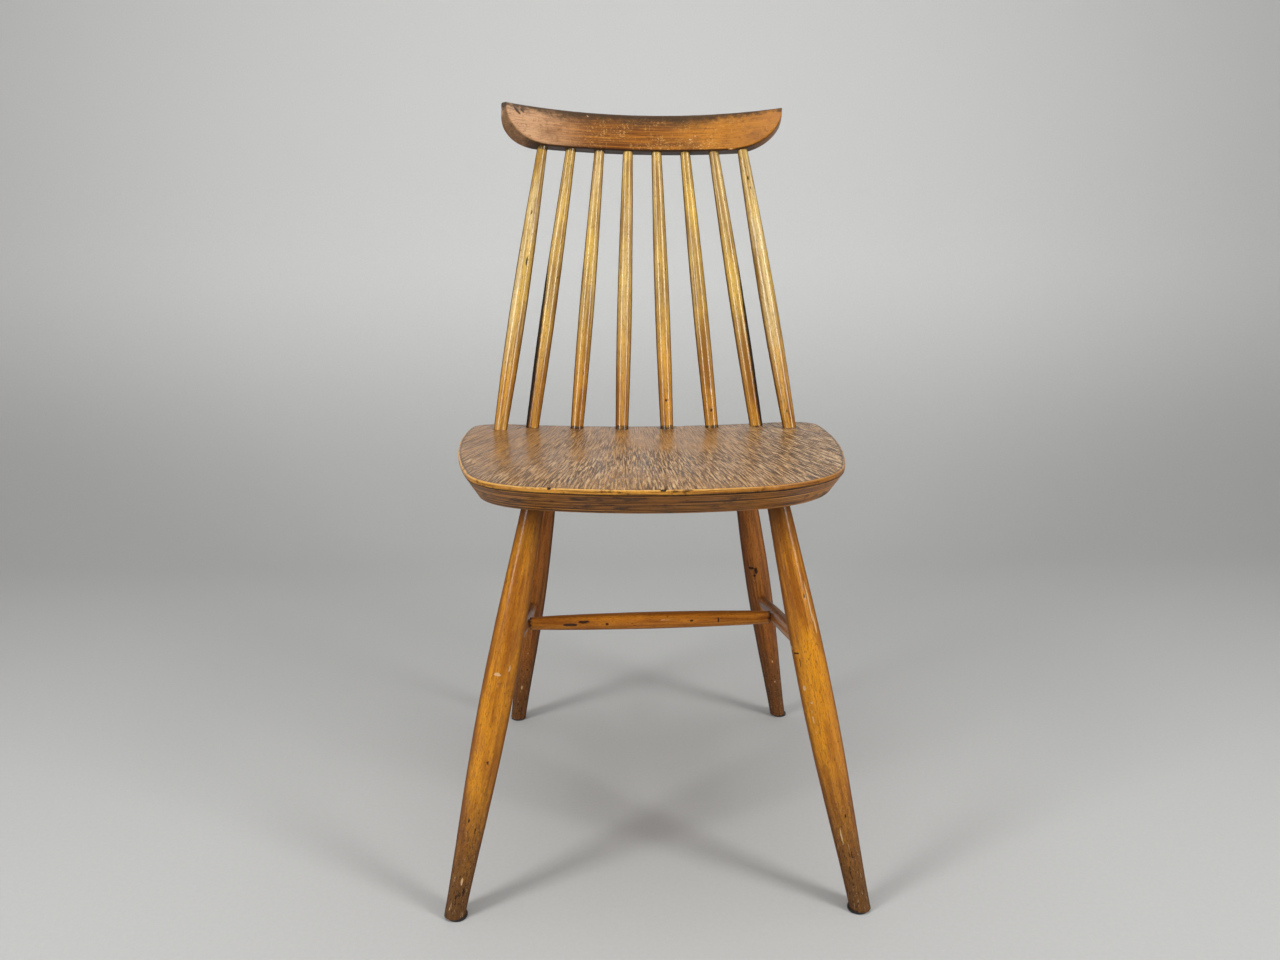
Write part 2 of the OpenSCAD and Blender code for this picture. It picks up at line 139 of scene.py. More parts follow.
class CrestSettings(bpy.types.PropertyGroup):
    """Shape of the bent crest rail, before it is set on the spindles."""
    length: a_length("Length", "Length along the bend", 0.356)
    height: a_length("Height", "Height along the face", 0.0455)
    thickness: a_length("Thickness", "Thickness of the rail", 0.020)
    bend: a_length("Bend radius", "Plan radius of the rail's middle line", 0.410)
    lean: an_angle("Lean", "Backward lean", 12)
    skew: an_angle("Skew", "Lift of the left end from glue-up", 1.3)
    corner_run: a_length("Corner run", "Length of each lower corner's round", 0.060)
    corner_rise: a_length("Corner rise", "Height of each lower corner's round", 0.044)
    left_slant: a_length("Left slant", "How much lower the left corner's round runs at the back", 0.010)
    right_cut: a_length("Right cut", "How much further the right end reaches at the front", 0.006)
    top_slant: a_length("Top slant", "How much higher the top edge stands at the back", 0.004)
    belly: a_length("Belly", "Fall of the lower edge towards its ends", 0.004)
    crown: a_length("Crown", "Fall of the top edge towards its ends", 0.001)
    edge_round: a_length("Edge round", "Round on the long edges", 0.0032)


class FinishSettings(bpy.types.PropertyGroup):
    """Colours of the varnish, the bare wood and the dirt."""
    honey: a_colour("Honey", "Pale varnish of the spindles", (0.66, 0.46, 0.175))
    honey_deep: a_colour("Honey streaks", "Darker streaks in the spindles", (0.30, 0.150, 0.024))
    amber: a_colour("Amber", "Varnish of the front legs", (0.58, 0.23, 0.020))
    amber_deep: a_colour("Amber streaks", "Darker streaks in the front legs", (0.29, 0.090, 0.008))
    # The rear legs' russet is the front legs' amber painted darker, as painted shade from the seat above;
    # the side stretchers use the same colours
    russet_in_shade: a_colour("Russet", "Varnish of the rear legs", (0.37, 0.135, 0.026))
    russet_in_shade_deep: a_colour("Russet streaks", "Darker streaks in the rear legs", (0.135, 0.040, 0.008))
    crest: a_colour("Crest", "Varnish of the crest rail", (0.38, 0.135, 0.012))
    crest_deep: a_colour("Crest streaks", "Darker streaks in the crest rail", (0.14, 0.042, 0.005))
    seat: a_colour("Seat", "Worn varnish on the seat", (0.37, 0.185, 0.058))
    seat_deep: a_colour("Seat streaks", "Dark pores and cracks on the seat", (0.048, 0.017, 0.004))
    edge: a_colour("Edge", "Worn golden edge of the seat panel", (0.64, 0.29, 0.040))
    base: a_colour("Base", "Bevel of the seat base", (0.36, 0.135, 0.022))
    base_deep: a_colour("Base lines", "Darker lines of the bevel", (0.060, 0.019, 0.004))
    bare: a_colour("Bare wood", "Wood where the varnish is gone", (0.66, 0.44, 0.22))
    # This colour is used for real dirt in dents and joints, and also as painted shade on the turned pieces'
    # flanks, at the legs' tops and down spindles 2 and 7
    dirt_and_shade: a_colour("Dirt", "Dirt in dents and joints", (0.014, 0.008, 0.005))
    foot_dirt: a_colour("Foot dirt", "Dirt on the lower legs", (0.088, 0.038, 0.013))
    rubber: a_colour("Glide", "Black glides under the feet", (0.012, 0.012, 0.012))


class StageSettings(bpy.types.PropertyGroup):
    """Camera, lamps and floor."""
    eye: bpy.props.FloatVectorProperty(
        name="Camera", description="Place of the camera", subtype="XYZ", unit="LENGTH",
        default=(-0.0431, -1.0760, 0.6302))
    pan: an_angle("Pan", "Turn of the camera to the right", 1.243)
    tilt: an_angle("Tilt", "Downward tilt of the camera", 12.389)
    roll: an_angle("Roll", "Roll of the camera", 0.2415)
    lens: a_number("Lens", "Focal length in millimetres", 27.013)
    shift: bpy.props.FloatVectorProperty(
        name="Shift", description="Small lens shift", size=2, default=(0.00625, 0.0011))
    floor: a_colour("Floor", "Colour of the floor", (0.50, 0.50, 0.49))
    wall: a_colour("Backdrop", "Colour of the backdrop", (0.78, 0.78, 0.77))
    sky: a_number("Surround", "Strength of the surrounding light", 0.20)
    surround: a_number("Pale surround", "Brightness of the surround where the camera sees it", 0.55)
    key: a_number("Side lamps", "Power of each side lamp in watts", 29.0)
    top: a_number("Top lamp", "Power of the lamp overhead in watts", 22.0)


# ---- reading the frame ----

def merged_copy(node):
    """A copy of a frame piece's mesh, with its loose triangles joined."""
    bm = bmesh.new()
    bm.from_mesh(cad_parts[node].data)
    bmesh.ops.remove_doubles(bm, verts=bm.verts, dist=WELD)
    bm.normal_update()
    return bm


def clusters(pairs, gap):
    """Sorted pairs in runs whose first numbers lie closer than gap."""
    runs = [[pairs[0]]]
    for pair in pairs[1:]:
        if pair[0] - runs[-1][-1][0] > gap:
            runs.append([])
        runs[-1].append(pair)
    return runs


class Turning:
    """Axis and profile of a turned frame piece. Its origin is the centre of its far or upper end."""

    def __init__(self, node, facing=(0, -1, 0), way=None):
        bm = merged_copy(node)
        low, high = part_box(node)
        self.way = max(range(3), key=lambda k: high[k] - low[k]) if way is None else way
        tip = max(bm.verts, key=lambda v: v.co[self.way])
        near = max(tip.link_faces, key=lambda f: f.normal[self.way]).normal
        disc = [v.co.copy() for v in bm.verts if abs((v.co - tip.co).dot(near)) < DISC_DEPTH]
        second = max(disc, key=lambda p: (p - tip.co).length)
        third = max(disc, key=lambda p: (p - tip.co).cross(p - second).length)
        axis = geometry.normal(tip.co, second, third)
        self.axis = axis if axis[self.way] > 0 else -axis
        self.centre = sum(disc, Vector()) / len(disc)
        self.rings = self.rings_of(bm)
        front = Vector(facing)
        front = (front - self.axis * front.dot(self.axis)).normalized()
        side = self.axis.cross(front)
        self.place = Matrix.Translation(self.centre) @ Matrix((front, side, self.axis)).transposed().to_4x4()
        bm.free()

    def rings_of(self, bm):
        """(distance along the axis, radius) of each full ring, shoulders twice."""
        pairs = []
        for v in bm.verts:
            along = (v.co - self.centre).dot(self.axis)
            pairs.append((along, (v.co - self.centre - along * self.axis).length))
        pairs.sort()
        rings = []
        for run in clusters(pairs, RING_GAP):
            levels = clusters(sorted((r, z) for z, r in run), RADIUS_GAP)
            full = [level[0][0] for level in levels if len(level) >= RING_CORNERS][-2:]
            if rings and len(full) == 2:
                full.sort(key=lambda r: abs(r - rings[-1][1]))
            along = sum(z for z, _ in run) / len(run)
            rings += [(along, r) for r in full]
        return rings

    def along(self, where):
        """Distance along the axis of the point with this coordinate on the piece's long way."""
        return (where - self.centre[self.way]) / self.axis[self.way]


def eased(rings, step):
    """The rings' profile at an even step, rounded between the rings and sharp at its shoulders."""
    slopes = []
    for (z0, r0), (z1, r1) in zip(rings, rings[1:]):
        slopes.append((r1 - r0) / (z1 - z0) if z1 - z0 > WELD else None)

    def tangent(i, own):
        other = slopes[i] if 0 <= i < len(slopes) else None
        if other is None or abs(other - own) > SHOULDER:
            return own
        return (other + own) / 2

    profile = [rings[0]]
    for i, own in enumerate(slopes):
        (z0, r0), (z1, r1) = rings[i], rings[i + 1]
        if own is None:
            profile.append((z1, r1))
            continue
        span = z1 - z0
        m0 = tangent(i - 1, own) * span
        m1 = tangent(i + 1, own) * span
        count = max(round(span / step), 1)
        for k in range(1, count + 1):
            profile.append((z0 + span * k / count, curve_at(r0, r1, m0, m1, k / count)))
    return profile


# ---- making meshes ----

def smooth_step(low, high, value):
    t = min(max((value - low) / (high - low), 0), 1)
    return t * t * (3 - 2 * t)


def curve_at(p, q, m0, m1, t):
    """The point at share t of the smooth curve from p to q, with the tangents m0 and m1."""
    return (p * (1 + 2 * t) * (1 - t) ** 2 + m0 * t * (1 - t) ** 2
            + q * t * t * (3 - 2 * t) - m1 * t * t * (1 - t))


def layers(bm):
    """The layers that the finishes read: the grain's own coordinates, marks and nearness to an edge."""
    return (bm.verts.layers.float_vector.new("grain"),
            bm.verts.layers.float.new("mark"),
            bm.verts.layers.float.new("edge"))


def of_kind(made, kind):
    """The corners or edges among what a mesh operator made."""
    return [g for g in made if isinstance(g, kind)]


def placed(name, data):
    """A new object in the scene."""
    thing = bpy.data.objects.new(name, data)
    bpy.context.scene.collection.objects.link(thing)
    return thing


def smooth_mesh(name, bm, material):
    """Turns a bmesh into a smooth-shaded mesh."""
    mesh = bpy.data.meshes.new(name)
    bm.normal_update()
    bm.to_mesh(mesh)
    bm.free()
    mesh.shade_smooth()
    mesh.materials.append(material)
    return mesh


def finished(node, bm, material):
    """Turns a bmesh into the piece of the chair that stands for this frame piece."""
    mesh = smooth_mesh(node + "_worn", bm, material)
    mesh.set_sharp_from_angle(angle=SHARP)
    piece = placed(node + "_worn", mesh)
    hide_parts(node)
    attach(piece, BODY)


def spun(profile, around):
    """A closed turned solid from a profile of (distance along, radius), on the Z axis."""
    bm = bmesh.new()
    line = [(0.0, profile[0][0])] + [(r, z) for z, r in profile] + [(0.0, profile[-1][0])]
    verts = [bm.verts.new((r, 0, z)) for r, z in line]
    edges = [bm.edges.new(pair) for pair in zip(verts, verts[1:])]
    bmesh.ops.spin(bm, geom=verts + edges, cent=(0, 0, 0), axis=(0, 0, 1),
                   angle=math.tau, steps=around, use_merge=True)
    bmesh.ops.remove_doubles(bm, verts=bm.verts, dist=WELD)
    bmesh.ops.recalc_face_normals(bm, faces=bm.faces)
    return bm


class Mark:
    """A dent, scuff, stain or band of painted shade. Its place is a coordinate on the piece's long way and
    an angle round it.
    """

    def __init__(self, at, angle, length, width, depth, tone):
        self.at, self.angle = at, math.radians(angle)
        self.length, self.width = length, width
        self.depth, self.tone = depth, tone

    def share(self, along, angle, radius):
        """How much of the mark lies here, from 0 to 1."""
        down = along / (self.length / 2)
        if abs(down) >= 1:
            return 0
        turn = (angle - self.angle + math.pi) % math.tau - math.pi
        across = turn * radius / (self.width / 2)
        reach = down * down + across * across
        return (1 - reach) ** 2 if reach < 1 else 0


def turned_piece(name, material, marks, ends, around=None, facing=(0, -1, 0), grime=0.55,
                 joint_run=0.004, foot_level=None):
    """A turned piece with its waves, dents, marks and joint dirt; some marks are painted shade. ends are
    where its visible stretch stops.
    """
    settings = bpy.context.scene.chair_turning
    turning = Turning(name, facing)
    rings = turning.rings
    if foot_level is not None:
        (z0, r0), (z1, r1) = rings[:2]
        rings = [(z0 - FOOT_SPARE, r0 - FOOT_SPARE * (r1 - r0) / (z1 - z0))] + rings
    bm = spun(eased(rings, settings.step), around or settings.around)
    grain, mark, edge = layers(bm)
    rng = random.Random(name)
    offset = Vector(rng.uniform(-9, 9) for _ in range(3))
    places = [(turning.along(m.at), m) for m in marks]
    start, stop = (turning.along(end) for end in ends)
    for v in bm.verts:
        radius = math.hypot(v.co.x, v.co.y)
        v[grain] = v.co + offset
        if radius < ON_AXIS:
            continue
        angle = math.atan2(v.co.y, v.co.x)
        out = Vector((v.co.x, v.co.y, 0)) / radius
        z = v.co.z
        moved = v.co + offset
        waves = noise.noise(moved * 38) + 0.5 * noise.noise(moved * Vector((160, 160, 60)))
        push = settings.unevenness * (waves - 0.6)
        tone = 0.0
        for place, m in places:
            if abs(z - place) < m.length:
                share = m.share(z - place, angle, radius)
                if share:
                    push -= m.depth * share
                    strength = m.tone * min(share * 2.2, 1)
                    tone = strength if abs(strength) > abs(tone) else tone
        joint = smooth_step(joint_run, 0.0, stop - z)
        if foot_level is None:
            joint = max(joint, smooth_step(joint_run, 0.0, z - start))
        joint *= grime
        if start < z < stop:
            v.co += out * push
        v[mark] = tone if abs(tone) > joint else joint
        v[edge] = out.x
    bm.transform(turning.place)
    if foot_level is not None:
        cut = bmesh.ops.bisect_plane(bm, geom=bm.verts[:] + bm.edges[:] + bm.faces[:], dist=WELD,
                                     plane_co=(0, 0, foot_level), plane_no=(0, 0, -1), clear_outer=True)
        bmesh.ops.holes_fill(bm, edges=of_kind(cut["geom_cut"], bmesh.types.BMEdge), sides=0)
        bmesh.ops.recalc_face_normals(bm, faces=bm.faces)
    finished(name, bm, material)


def loft(loops, low_pole, high_pole):
    """A closed solid through loops of equally many rows of place, grain, mark and edge.
    A pole stands beyond the first loop and the last."""
    bm = bmesh.new()
    grain, mark, edge = layers(bm)
    index = bm.verts.layers.int.new("index")
    ring = bmesh.ops.create_circle(bm, segments=len(loops[0]), radius=1)["verts"]
    for i, v in enumerate(ring):
        v[index] = i

    def settle(verts, loop):
        for v in verts:
            v.co, v[grain], v[mark], v[edge] = loop[v[index]]

    settle(ring, loops[0])
    first = list(dict.fromkeys(link for v in ring for link in v.link_edges))
    edges = first
    for loop in loops[1:]:
        made = bmesh.ops.extrude_edge_only(bm, edges=edges)["geom"]
        settle(of_kind(made, bmesh.types.BMVert), loop)
        edges = [e for e in of_kind(made, bmesh.types.BMEdge) if e.is_boundary]
    for rim, pole in ((edges, high_pole), (first, low_pole)):
        made = bmesh.ops.extrude_edge_only(bm, edges=rim)["geom"]
        bmesh.ops.pointmerge(bm, verts=of_kind(made, bmesh.types.BMVert), merge_co=pole)
    bmesh.ops.remove_doubles(bm, verts=bm.verts, dist=WELD)
    bmesh.ops.recalc_face_normals(bm, faces=bm.faces)
    return bm


# ---- seat ----

def smooth_loop(points, count):
    """A closed smooth curve through the points, at count places of equal spacing."""
    n = len(points)
    lengths = [(points[(i + 1) % n] - points[i]).length for i in range(n)]
    total = sum(lengths)
    made, i, passed = [], 0, 0.0
    for k in range(count):
        target = total * k / count
        while passed + lengths[i] < target:
            passed += lengths[i]
            i += 1
        p, q = points[i], points[(i + 1) % n]
        span = lengths[i]
        m0 = (q - points[i - 1]) / (span + lengths[i - 1]) * span
        m1 = (points[(i + 2) % n] - p) / (span + lengths[(i + 1) % n]) * span
        made.append(curve_at(p, q, m0, m1, (target - passed) / span))
    return made


def hull_of(points):
    """The outline round some points seen from above, anticlockwise."""
    flat = [Vector((p.x, p.y)) for p in points]
    order = geometry.convex_hull_2d(flat)
    loop = [flat[i] for i in order]
    area = sum(p.cross(q) for p, q in zip(loop, loop[1:] + loop[:1]))
    return loop if area > 0 else loop[::-1]


def at_angles(curve, centre, angles):
    """Where the rays from the centre at these angles cross a closed curve round it."""
    spokes = sorted((math.atan2(p.y - centre.y, p.x - centre.x), i) for i, p in enumerate(curve))
    crossings = []
    for angle in angles:
        k = bisect.bisect_left(spokes, (angle,))
        p, q = (curve[spokes[side % len(spokes)][1]] - centre for side in (k - 1, k))
        way = Vector((math.cos(angle), math.sin(angle)))
        share = p.cross(way) / (p.cross(way) - q.cross(way)) if p.cross(way) != q.cross(way) else 0
        crossings.append(centre + p.lerp(q, share))
    return crossings


class SeatShape:
    """Outlines and surface of the seat, measured on its two frame pieces."""

    def __init__(self, settings):
        panel, base = merged_copy("seat_panel"), merged_copy("seat_base")
        panel_low, panel_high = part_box("seat_panel")
        base_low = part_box("seat_base")[0]
        upper = [v.co for v in panel.verts if v.normal.z > LOOKING_UP]
        self.top = panel_high.z
        self.dish = self.top - min(p.z for p in upper)
        self.front = panel_low.y
        self.half = (panel_high.x - panel_low.x) / 2
        self.under = base_low.z
        self.fade = settings.dish_fade
        self.centre = Vector((0, (panel_low.y + panel_high.y) / 2))
        self.thick = self.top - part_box("seat_base")[1].z
        self.rim = smooth_loop(hull_of([v.co for v in panel.verts]), settings.around)
        bottom = [v.co for v in base.verts if v.co.z < self.under + RING_GAP]
        angles = [math.atan2(p.y - self.centre.y, p.x - self.centre.x) for p in self.rim]
        self.foot = at_angles(smooth_loop(hull_of(bottom), settings.around), self.centre, angles)
        self.out = [(b - a).orthogonal().normalized() * -1 for a, b in
                    zip(self.rim[-1:] + self.rim[:-1], self.rim[1:] + self.rim[:1])]
        panel.free()
        base.free()

    def surface(self, x, y):
        """Height of the seat's top."""
        run = min(max((y - self.front) / self.fade, 0), 1)
        return self.top - self.dish * (1 - math.cos(math.pi * run)) / 2 * max(1 - (x / self.half) ** 2, 0)

    def point(self, flat, drop=0.0):
        """The point this far below the seat's top."""
        return Vector((*flat, self.surface(*flat) - drop))


# Chips of the panel's upper edge: place across, front or rear, width
RIM_CHIPS = ((0.003, -1, 0.0068), (-0.100, -1, 0.004), (0.048, 1, 0.010))
CHIP_DEPTH = 0.0017
# Dirt round a spindle's foot fades between these distances from its axis
FOOT_DIRT_RUN = (0.0125, 0.0075)


def chip_share(point):
    """How much of a chip lies at this point of the outline, from 0 to 1."""
    share = 0.0
    for x, y_side, width in RIM_CHIPS:
        if y_side * point.y > 0:
            share = max(share, 1 - smooth_step(0.55, 1, abs(point.x - x) / (width / 2)))
    return share


def seat_panel_piece(finish):
    settings = bpy.context.scene.chair_seat
    seat = SeatShape(settings)
    feet = []
    for name in SPINDLES:
        turning = Turning(name)
        feet.append(turning.centre + turning.axis * turning.along(seat.surface(0, seat.front + seat.fade)))
    loops = []

    def add(inset, drop, share=1.0, hidden=False):
        rows = []
        for p, out in zip(seat.rim, seat.out):
            worn = 0.00035 * noise.noise(Vector((p.x * 45, p.y * 45, 3.0)))
            chip = 0 if hidden or share < 0.97 else chip_share(p)
            flat = seat.centre.lerp(p - out * (inset + worn * (inset < 0.004)), share)
            chipped = chip * CHIP_DEPTH * (1 - smooth_step(0.0022, 0.0042, inset)) * (drop < 0.0012)
            grime = 0.85 * max(smooth_step(*FOOT_DIRT_RUN, (foot.xy - flat).length) for foot in feet)
            point = seat.point(flat, drop + chipped)
            mark = max(grime, chip * (inset < 0.0036) * (drop < 0.0016))
            rows.append((point, point, mark, drop - inset if share == 1 else -(1 - share) * 0.2))
        loops.append(rows)

    thick, rim = seat.thick, settings.rim_round
    for share in (0.05, 0.3, 0.6, 0.8, 0.9, 0.96):
        add(0.0, thick, share, hidden=True)
    add(settings.seam, thick, hidden=True)
    add(settings.seam * 0.4, thick - 0.0003, hidden=True)
    for k in range(5):
        add(0.0, thick - 0.0006 - (thick - 0.0006 - rim) * k / 4)
    for k in range(1, 6):
        turn = math.radians(18 * k)
        add(rim * (1 - math.cos(turn)), rim * (1 - math.sin(turn)))
    for inset in (0.0026, 0.0034, 0.0043, 0.0055, 0.007, 0.009, 0.0115):
        add(inset, 0)
    for k in range(1, 40):
        add(0.0115, 0, 1 - k / 40)
    bm = loft(loops, seat.point(seat.centre, thick), seat.point(seat.centre))
    finished("seat_panel", bm, finish)


def seat_base_piece(finish):
    settings = bpy.context.scene.chair_seat
    seat = SeatShape(settings)
    loops = []

    def add(points, grime=0.0):
        loops.append([(p, p, grime, p.z - seat.under) for p in points])

    def flat_ring(share):
        add([Vector((*seat.centre.lerp(p, share), seat.under)) for p in seat.foot])

    def bevel_ring(share, inset=0.0, drop=0.0, grime=0.0):
        """share runs from the underside's outline to the rim under the panel."""
        points = []
        for foot, rim, out in zip(seat.foot, seat.rim, seat.out):
            upper = seat.surface(rim.x, rim.y) - seat.thick
            flat = foot.lerp(rim, share) - out * inset
            wave = 0.0003 * noise.noise(Vector((flat.x * 30, flat.y * 30, share * 5)))
            points.append(Vector((*(flat - out * wave * (0.05 < share < 0.95)),
                                  seat.under + (upper - seat.under) * share - drop)))
        add(points, grime)

    for share in (0.05, 0.3, 0.55, 0.75, 0.88, 0.95, 0.98):
        flat_ring(share)
    bevel_ring(0.0, inset=0.0022)
    bevel_ring(0.0, inset=0.0008, drop=-0.0001)
    bevel_ring(0.02, inset=0.0001)
    for k in range(1, 12):
        bevel_ring(0.02 + 0.93 * k / 12)
    bevel_ring(0.965, grime=0.3)
    bevel_ring(0.985, inset=settings.seam * 0.5, grime=0.9)
    bevel_ring(1.0, inset=settings.seam * 1.6, grime=1.0)
    for share in (0.97, 0.9, 0.8, 0.65, 0.5, 0.35, 0.2, 0.08):
        add([seat.point(seat.centre.lerp(rim, share), seat.thick) for rim in seat.rim])
    bm = loft(loops, Vector((*seat.centre, seat.under)), seat.point(seat.centre, seat.thick))
    finished("seat_base", bm, finish)


# ---- crest rail ----

# Dents and chips of the crest: along the rail, up from its lower edge, length, height and depth in
# millimetres, and tone
CREST_MARKS = (
    (-164, 23.5, 13, 6, 0.6, 1.0), (-157, 29, 8, 4, 0.4, 0.8), (118, 1.2, 8, 2, 0.5, -0.7),
    (64, 14, 7, 4, 0.2, -0.45), (70, 19, 5, 2, 0.2, -0.45), (-70, 40, 6, 2, 0.3, -0.8),
    (75, 30, 16, 3, 0.2, 0.4), (-20, 12, 20, 2, 0.1, 0.35),
)


def crest_piece(finish):
    rail = bpy.context.scene.chair_crest
    half = rail.length / 2

    def into_corner(s):
        return max(abs(s) - (half - rail.corner_run), 0) / rail.corner_run

    def cut(s, out):
        """Where the section at s stands at this depth, after the slanted cut of the right end."""
        return s + (0.5 - out / rail.thickness) * rail.right_cut * into_corner(s) * (s > 0)

    def lower(s, back):
        """Height of the lower edge; back runs from 0 at the front face to 1 at the back."""
        over = into_corner(s)
        low = rail.corner_rise * (1 - math.sqrt(max(1 - over * over, 0))) - rail.belly * (s / half) ** 2
        return low - back * rail.left_slant * over * (s < 0)

    def upper(s, back):
        return rail.height - rail.crown * (s / half) ** 2 + back * rail.top_slant

    def bent(s, out, up):
        """The blank bent to its radius, leaned back and skewed."""
        turn = s / rail.bend
        x = (rail.bend + out) * math.sin(turn)
        y = (rail.bend + out) * math.cos(turn) - rail.bend
        leaned = Vector((x, y * math.cos(rail.lean) + up * math.sin(rail.lean),
                         up * math.cos(rail.lean) - y * math.sin(rail.lean)))
        return Matrix.Rotation(rail.skew, 3, "Y") @ leaned

    def section(s):
        """Points of one rounded section: across the thickness and up the face."""
        low, high = (lower(s, 0), lower(s, 1)), (upper(s, 0), upper(s, 1))
        r = min(rail.edge_round, (high[0] - low[0]) * 0.45)
        wide = rail.thickness / 2 - r
        under = 270 - math.degrees(math.atan2(low[0] - low[1], 2 * wide))
        over = 90 + math.degrees(math.atan2(high[1] - high[0], 2 * wide))
        corners = ((-wide, high[0] - r, over, 180), (-wide, low[0] + r, 180, under),
                   (wide, low[1] + r, under, 360), (wide, high[1] - r, 0, over))

        def on_round(corner, turn):
            out, up = corner[:2]
            return out + r * math.cos(math.radians(turn)), up + r * math.sin(math.radians(turn))

        points = []
        for c, corner in enumerate(corners):
            begin, stop = corner[2:]
            points += [on_round(corner, begin + (stop - begin) * k / 6) for k in range(7)]
            side = 18 if c % 2 == 0 else 8
            after = corners[(c + 1) % 4]
            goal = on_round(after, after[2])
            last = points[-1]
            points += [(last[0] + (goal[0] - last[0]) * k / side, last[1] + (goal[1] - last[1]) * k / side)
                       for k in range(1, side)]
        return points

    corner = [half - rail.corner_run + rail.corner_run * math.sin(math.radians(3 * k)) for k in range(1, 31)]
    inner = half - rail.corner_run
    places = [-s for s in reversed(corner)] + [inner * k / 50 for k in range(-50, 51)] + corner
    loops = []
    for s in places:
        rows = []
        for out, up in section(s):
            back = out / rail.thickness + 0.5
            above, below = up - lower(s, back), upper(s, back) - up
            dent, tone = 0.0, 0.0
            for at, height, length, tall, depth, strength in CREST_MARKS:
                across, up_it = (s * 1000 - at) / (length / 2), (above * 1000 - height) / (tall / 2)
                reach = across ** 2 + up_it ** 2
                if reach < 1 and out < 0:
                    dent += depth / 1000 * (1 - reach) ** 2
                    tone = strength * min(2.2 * (1 - reach) ** 2, 1)
            # painted shade: the rail's underside, along its lower edge, is marked dark, less so in the
            # corners' rounds
            under = 1 - smooth_step(0.0006, 0.0024, above)
            wave = 0.00025 * noise.noise(Vector((s * 30, out * 60, up * 60)))
            corner_share = smooth_step(half - rail.corner_run * 0.9, half - rail.corner_run * 0.35, abs(s))
            rows.append((bent(cut(s, out), out + dent - wave, up), Vector((s, out, up)),
                         tone or under * (0.95 - 0.45 * corner_share),
                         below if out < rail.thickness * 0.3 else min(below, 0.02)))
        loops.append(rows)
    ends = [bent(cut(s, 0), 0, (lower(s, 0.5) + upper(s, 0.5)) / 2) for s in (-half, half)]
    bm = loft(loops, *ends)
    low = Vector(min(v.co[k] for v in bm.verts) for k in range(3))
    high = Vector(max(v.co[k] for v in bm.verts) for k in range(3))
    cad_low, cad_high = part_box("crest_rail")
    bmesh.ops.translate(bm, verts=bm.verts, vec=(cad_low + cad_high - low - high) / 2)
    finished("crest_rail", bm, finish)


# ---- finishes ----

class Finish:
    """The shader nodes of one material. tone is its colour so far, which each lay() adds to."""

    def __init__(self, name):
        self.material = bpy.data.materials.new(name)
        self.material.use_nodes = True
        self.tree = self.material.node_tree
        self.tree.nodes.clear()
        self.shader = self.add("ShaderNodeBsdfPrincipled")
        self.tone = None
        output = self.add("ShaderNodeOutputMaterial")
        self.tree.links.new(self.shader.outputs["BSDF"], output.inputs["Surface"])

    def add(self, kind, inputs=(), **settings):
        """A node with these settings, its inputs fed with values or other nodes' outputs."""
        node = self.tree.nodes.new(kind)
        for key, value in settings.items():
            setattr(node, key, value)
        for key, value in dict(inputs).items():
            self.feed(node.inputs[key], value)
        return node

    def feed(self, socket, value):
        if isinstance(value, bpy.types.NodeSocket):
            self.tree.links.new(value, socket)
        else:
            size = len(socket.default_value) if hasattr(socket.default_value, "__len__") else 0
            socket.default_value = (*value, 1)[:size] if size else value

    def attribute(self, name):
        node = self.add("ShaderNodeAttribute", attribute_name=name)
        return node.outputs["Vector" if name == "grain" else "Fac"]

    def place(self):
        return self.add("ShaderNodeTexCoord").outputs["Object"]

    def part(self, vector, axis):
        return self.add("ShaderNodeSeparateXYZ", {0: vector}).outputs[axis]

    def height(self):
        return self.part(self.place(), "Z")

    def noise(self, vector, scale, detail=4, roughness=0.55, distortion=0.0, turn=(0, 0, 0)):
        """Noise over a vector that is first scaled along each of its ways."""
        mapping = self.add("ShaderNodeMapping", {"Vector": vector, "Scale": scale, "Rotation": turn})
        inputs = {"Vector": mapping.outputs[0], "Scale": 1, "Detail": detail, "Roughness": roughness,
                  "Distortion": distortion}
        return self.add("ShaderNodeTexNoise", inputs).outputs["Fac"]

    def ease(self, value, low, high, start=0.0, stop=1.0):
        """value eased from start to stop as it goes from low to high."""
        inputs = {"Value": value, "From Min": low, "From Max": high, "To Min": start, "To Max": stop}
        return self.add("ShaderNodeMapRange", inputs, interpolation_type="SMOOTHSTEP").outputs["Result"]

    def maths(self, operation, *values):
        return self.add("ShaderNodeMath", enumerate(values), operation=operation).outputs[0]

    def plus(self, *values):
        return functools.reduce(functools.partial(self.maths, "ADD"), values)

    def times(self, *values):
        return functools.reduce(functools.partial(self.maths, "MULTIPLY"), values)

    def minus(self, a, b):
        return self.maths("SUBTRACT", a, b)

    def size(self, value):
        return self.maths("ABSOLUTE", value)

    def mix(self, share, a, b, blend="MIX"):
        node = self.add("ShaderNodeMix", {0: share, 6: a, 7: b}, data_type="RGBA", blend_type=blend)
        return node.outputs[2]

    def lay(self, tone, *shares, blend="MIX"):
        """Lays a tone over the colour so far, by the product of the shares."""
        self.tone = self.mix(self.times(*shares), self.tone, tone, blend)

    def bump(self, height, strength, distance):
        inputs = {"Height": height, "Strength": strength, "Distance": distance}
        return self.add("ShaderNodeBump", inputs).outputs["Normal"]

    def done(self, roughness, normal=None, coat=0.0, coat_roughness=0.1, specular=0.5):
        inputs = {"Base Color": self.tone, "Roughness": roughness, "Coat Weight": coat,
                  "Coat Roughness": coat_roughness, "Specular IOR Level": specular}
        if normal:
            inputs["Normal"] = normal
        for key, value in inputs.items():
            self.feed(self.shader.inputs[key], value)
        return self.material
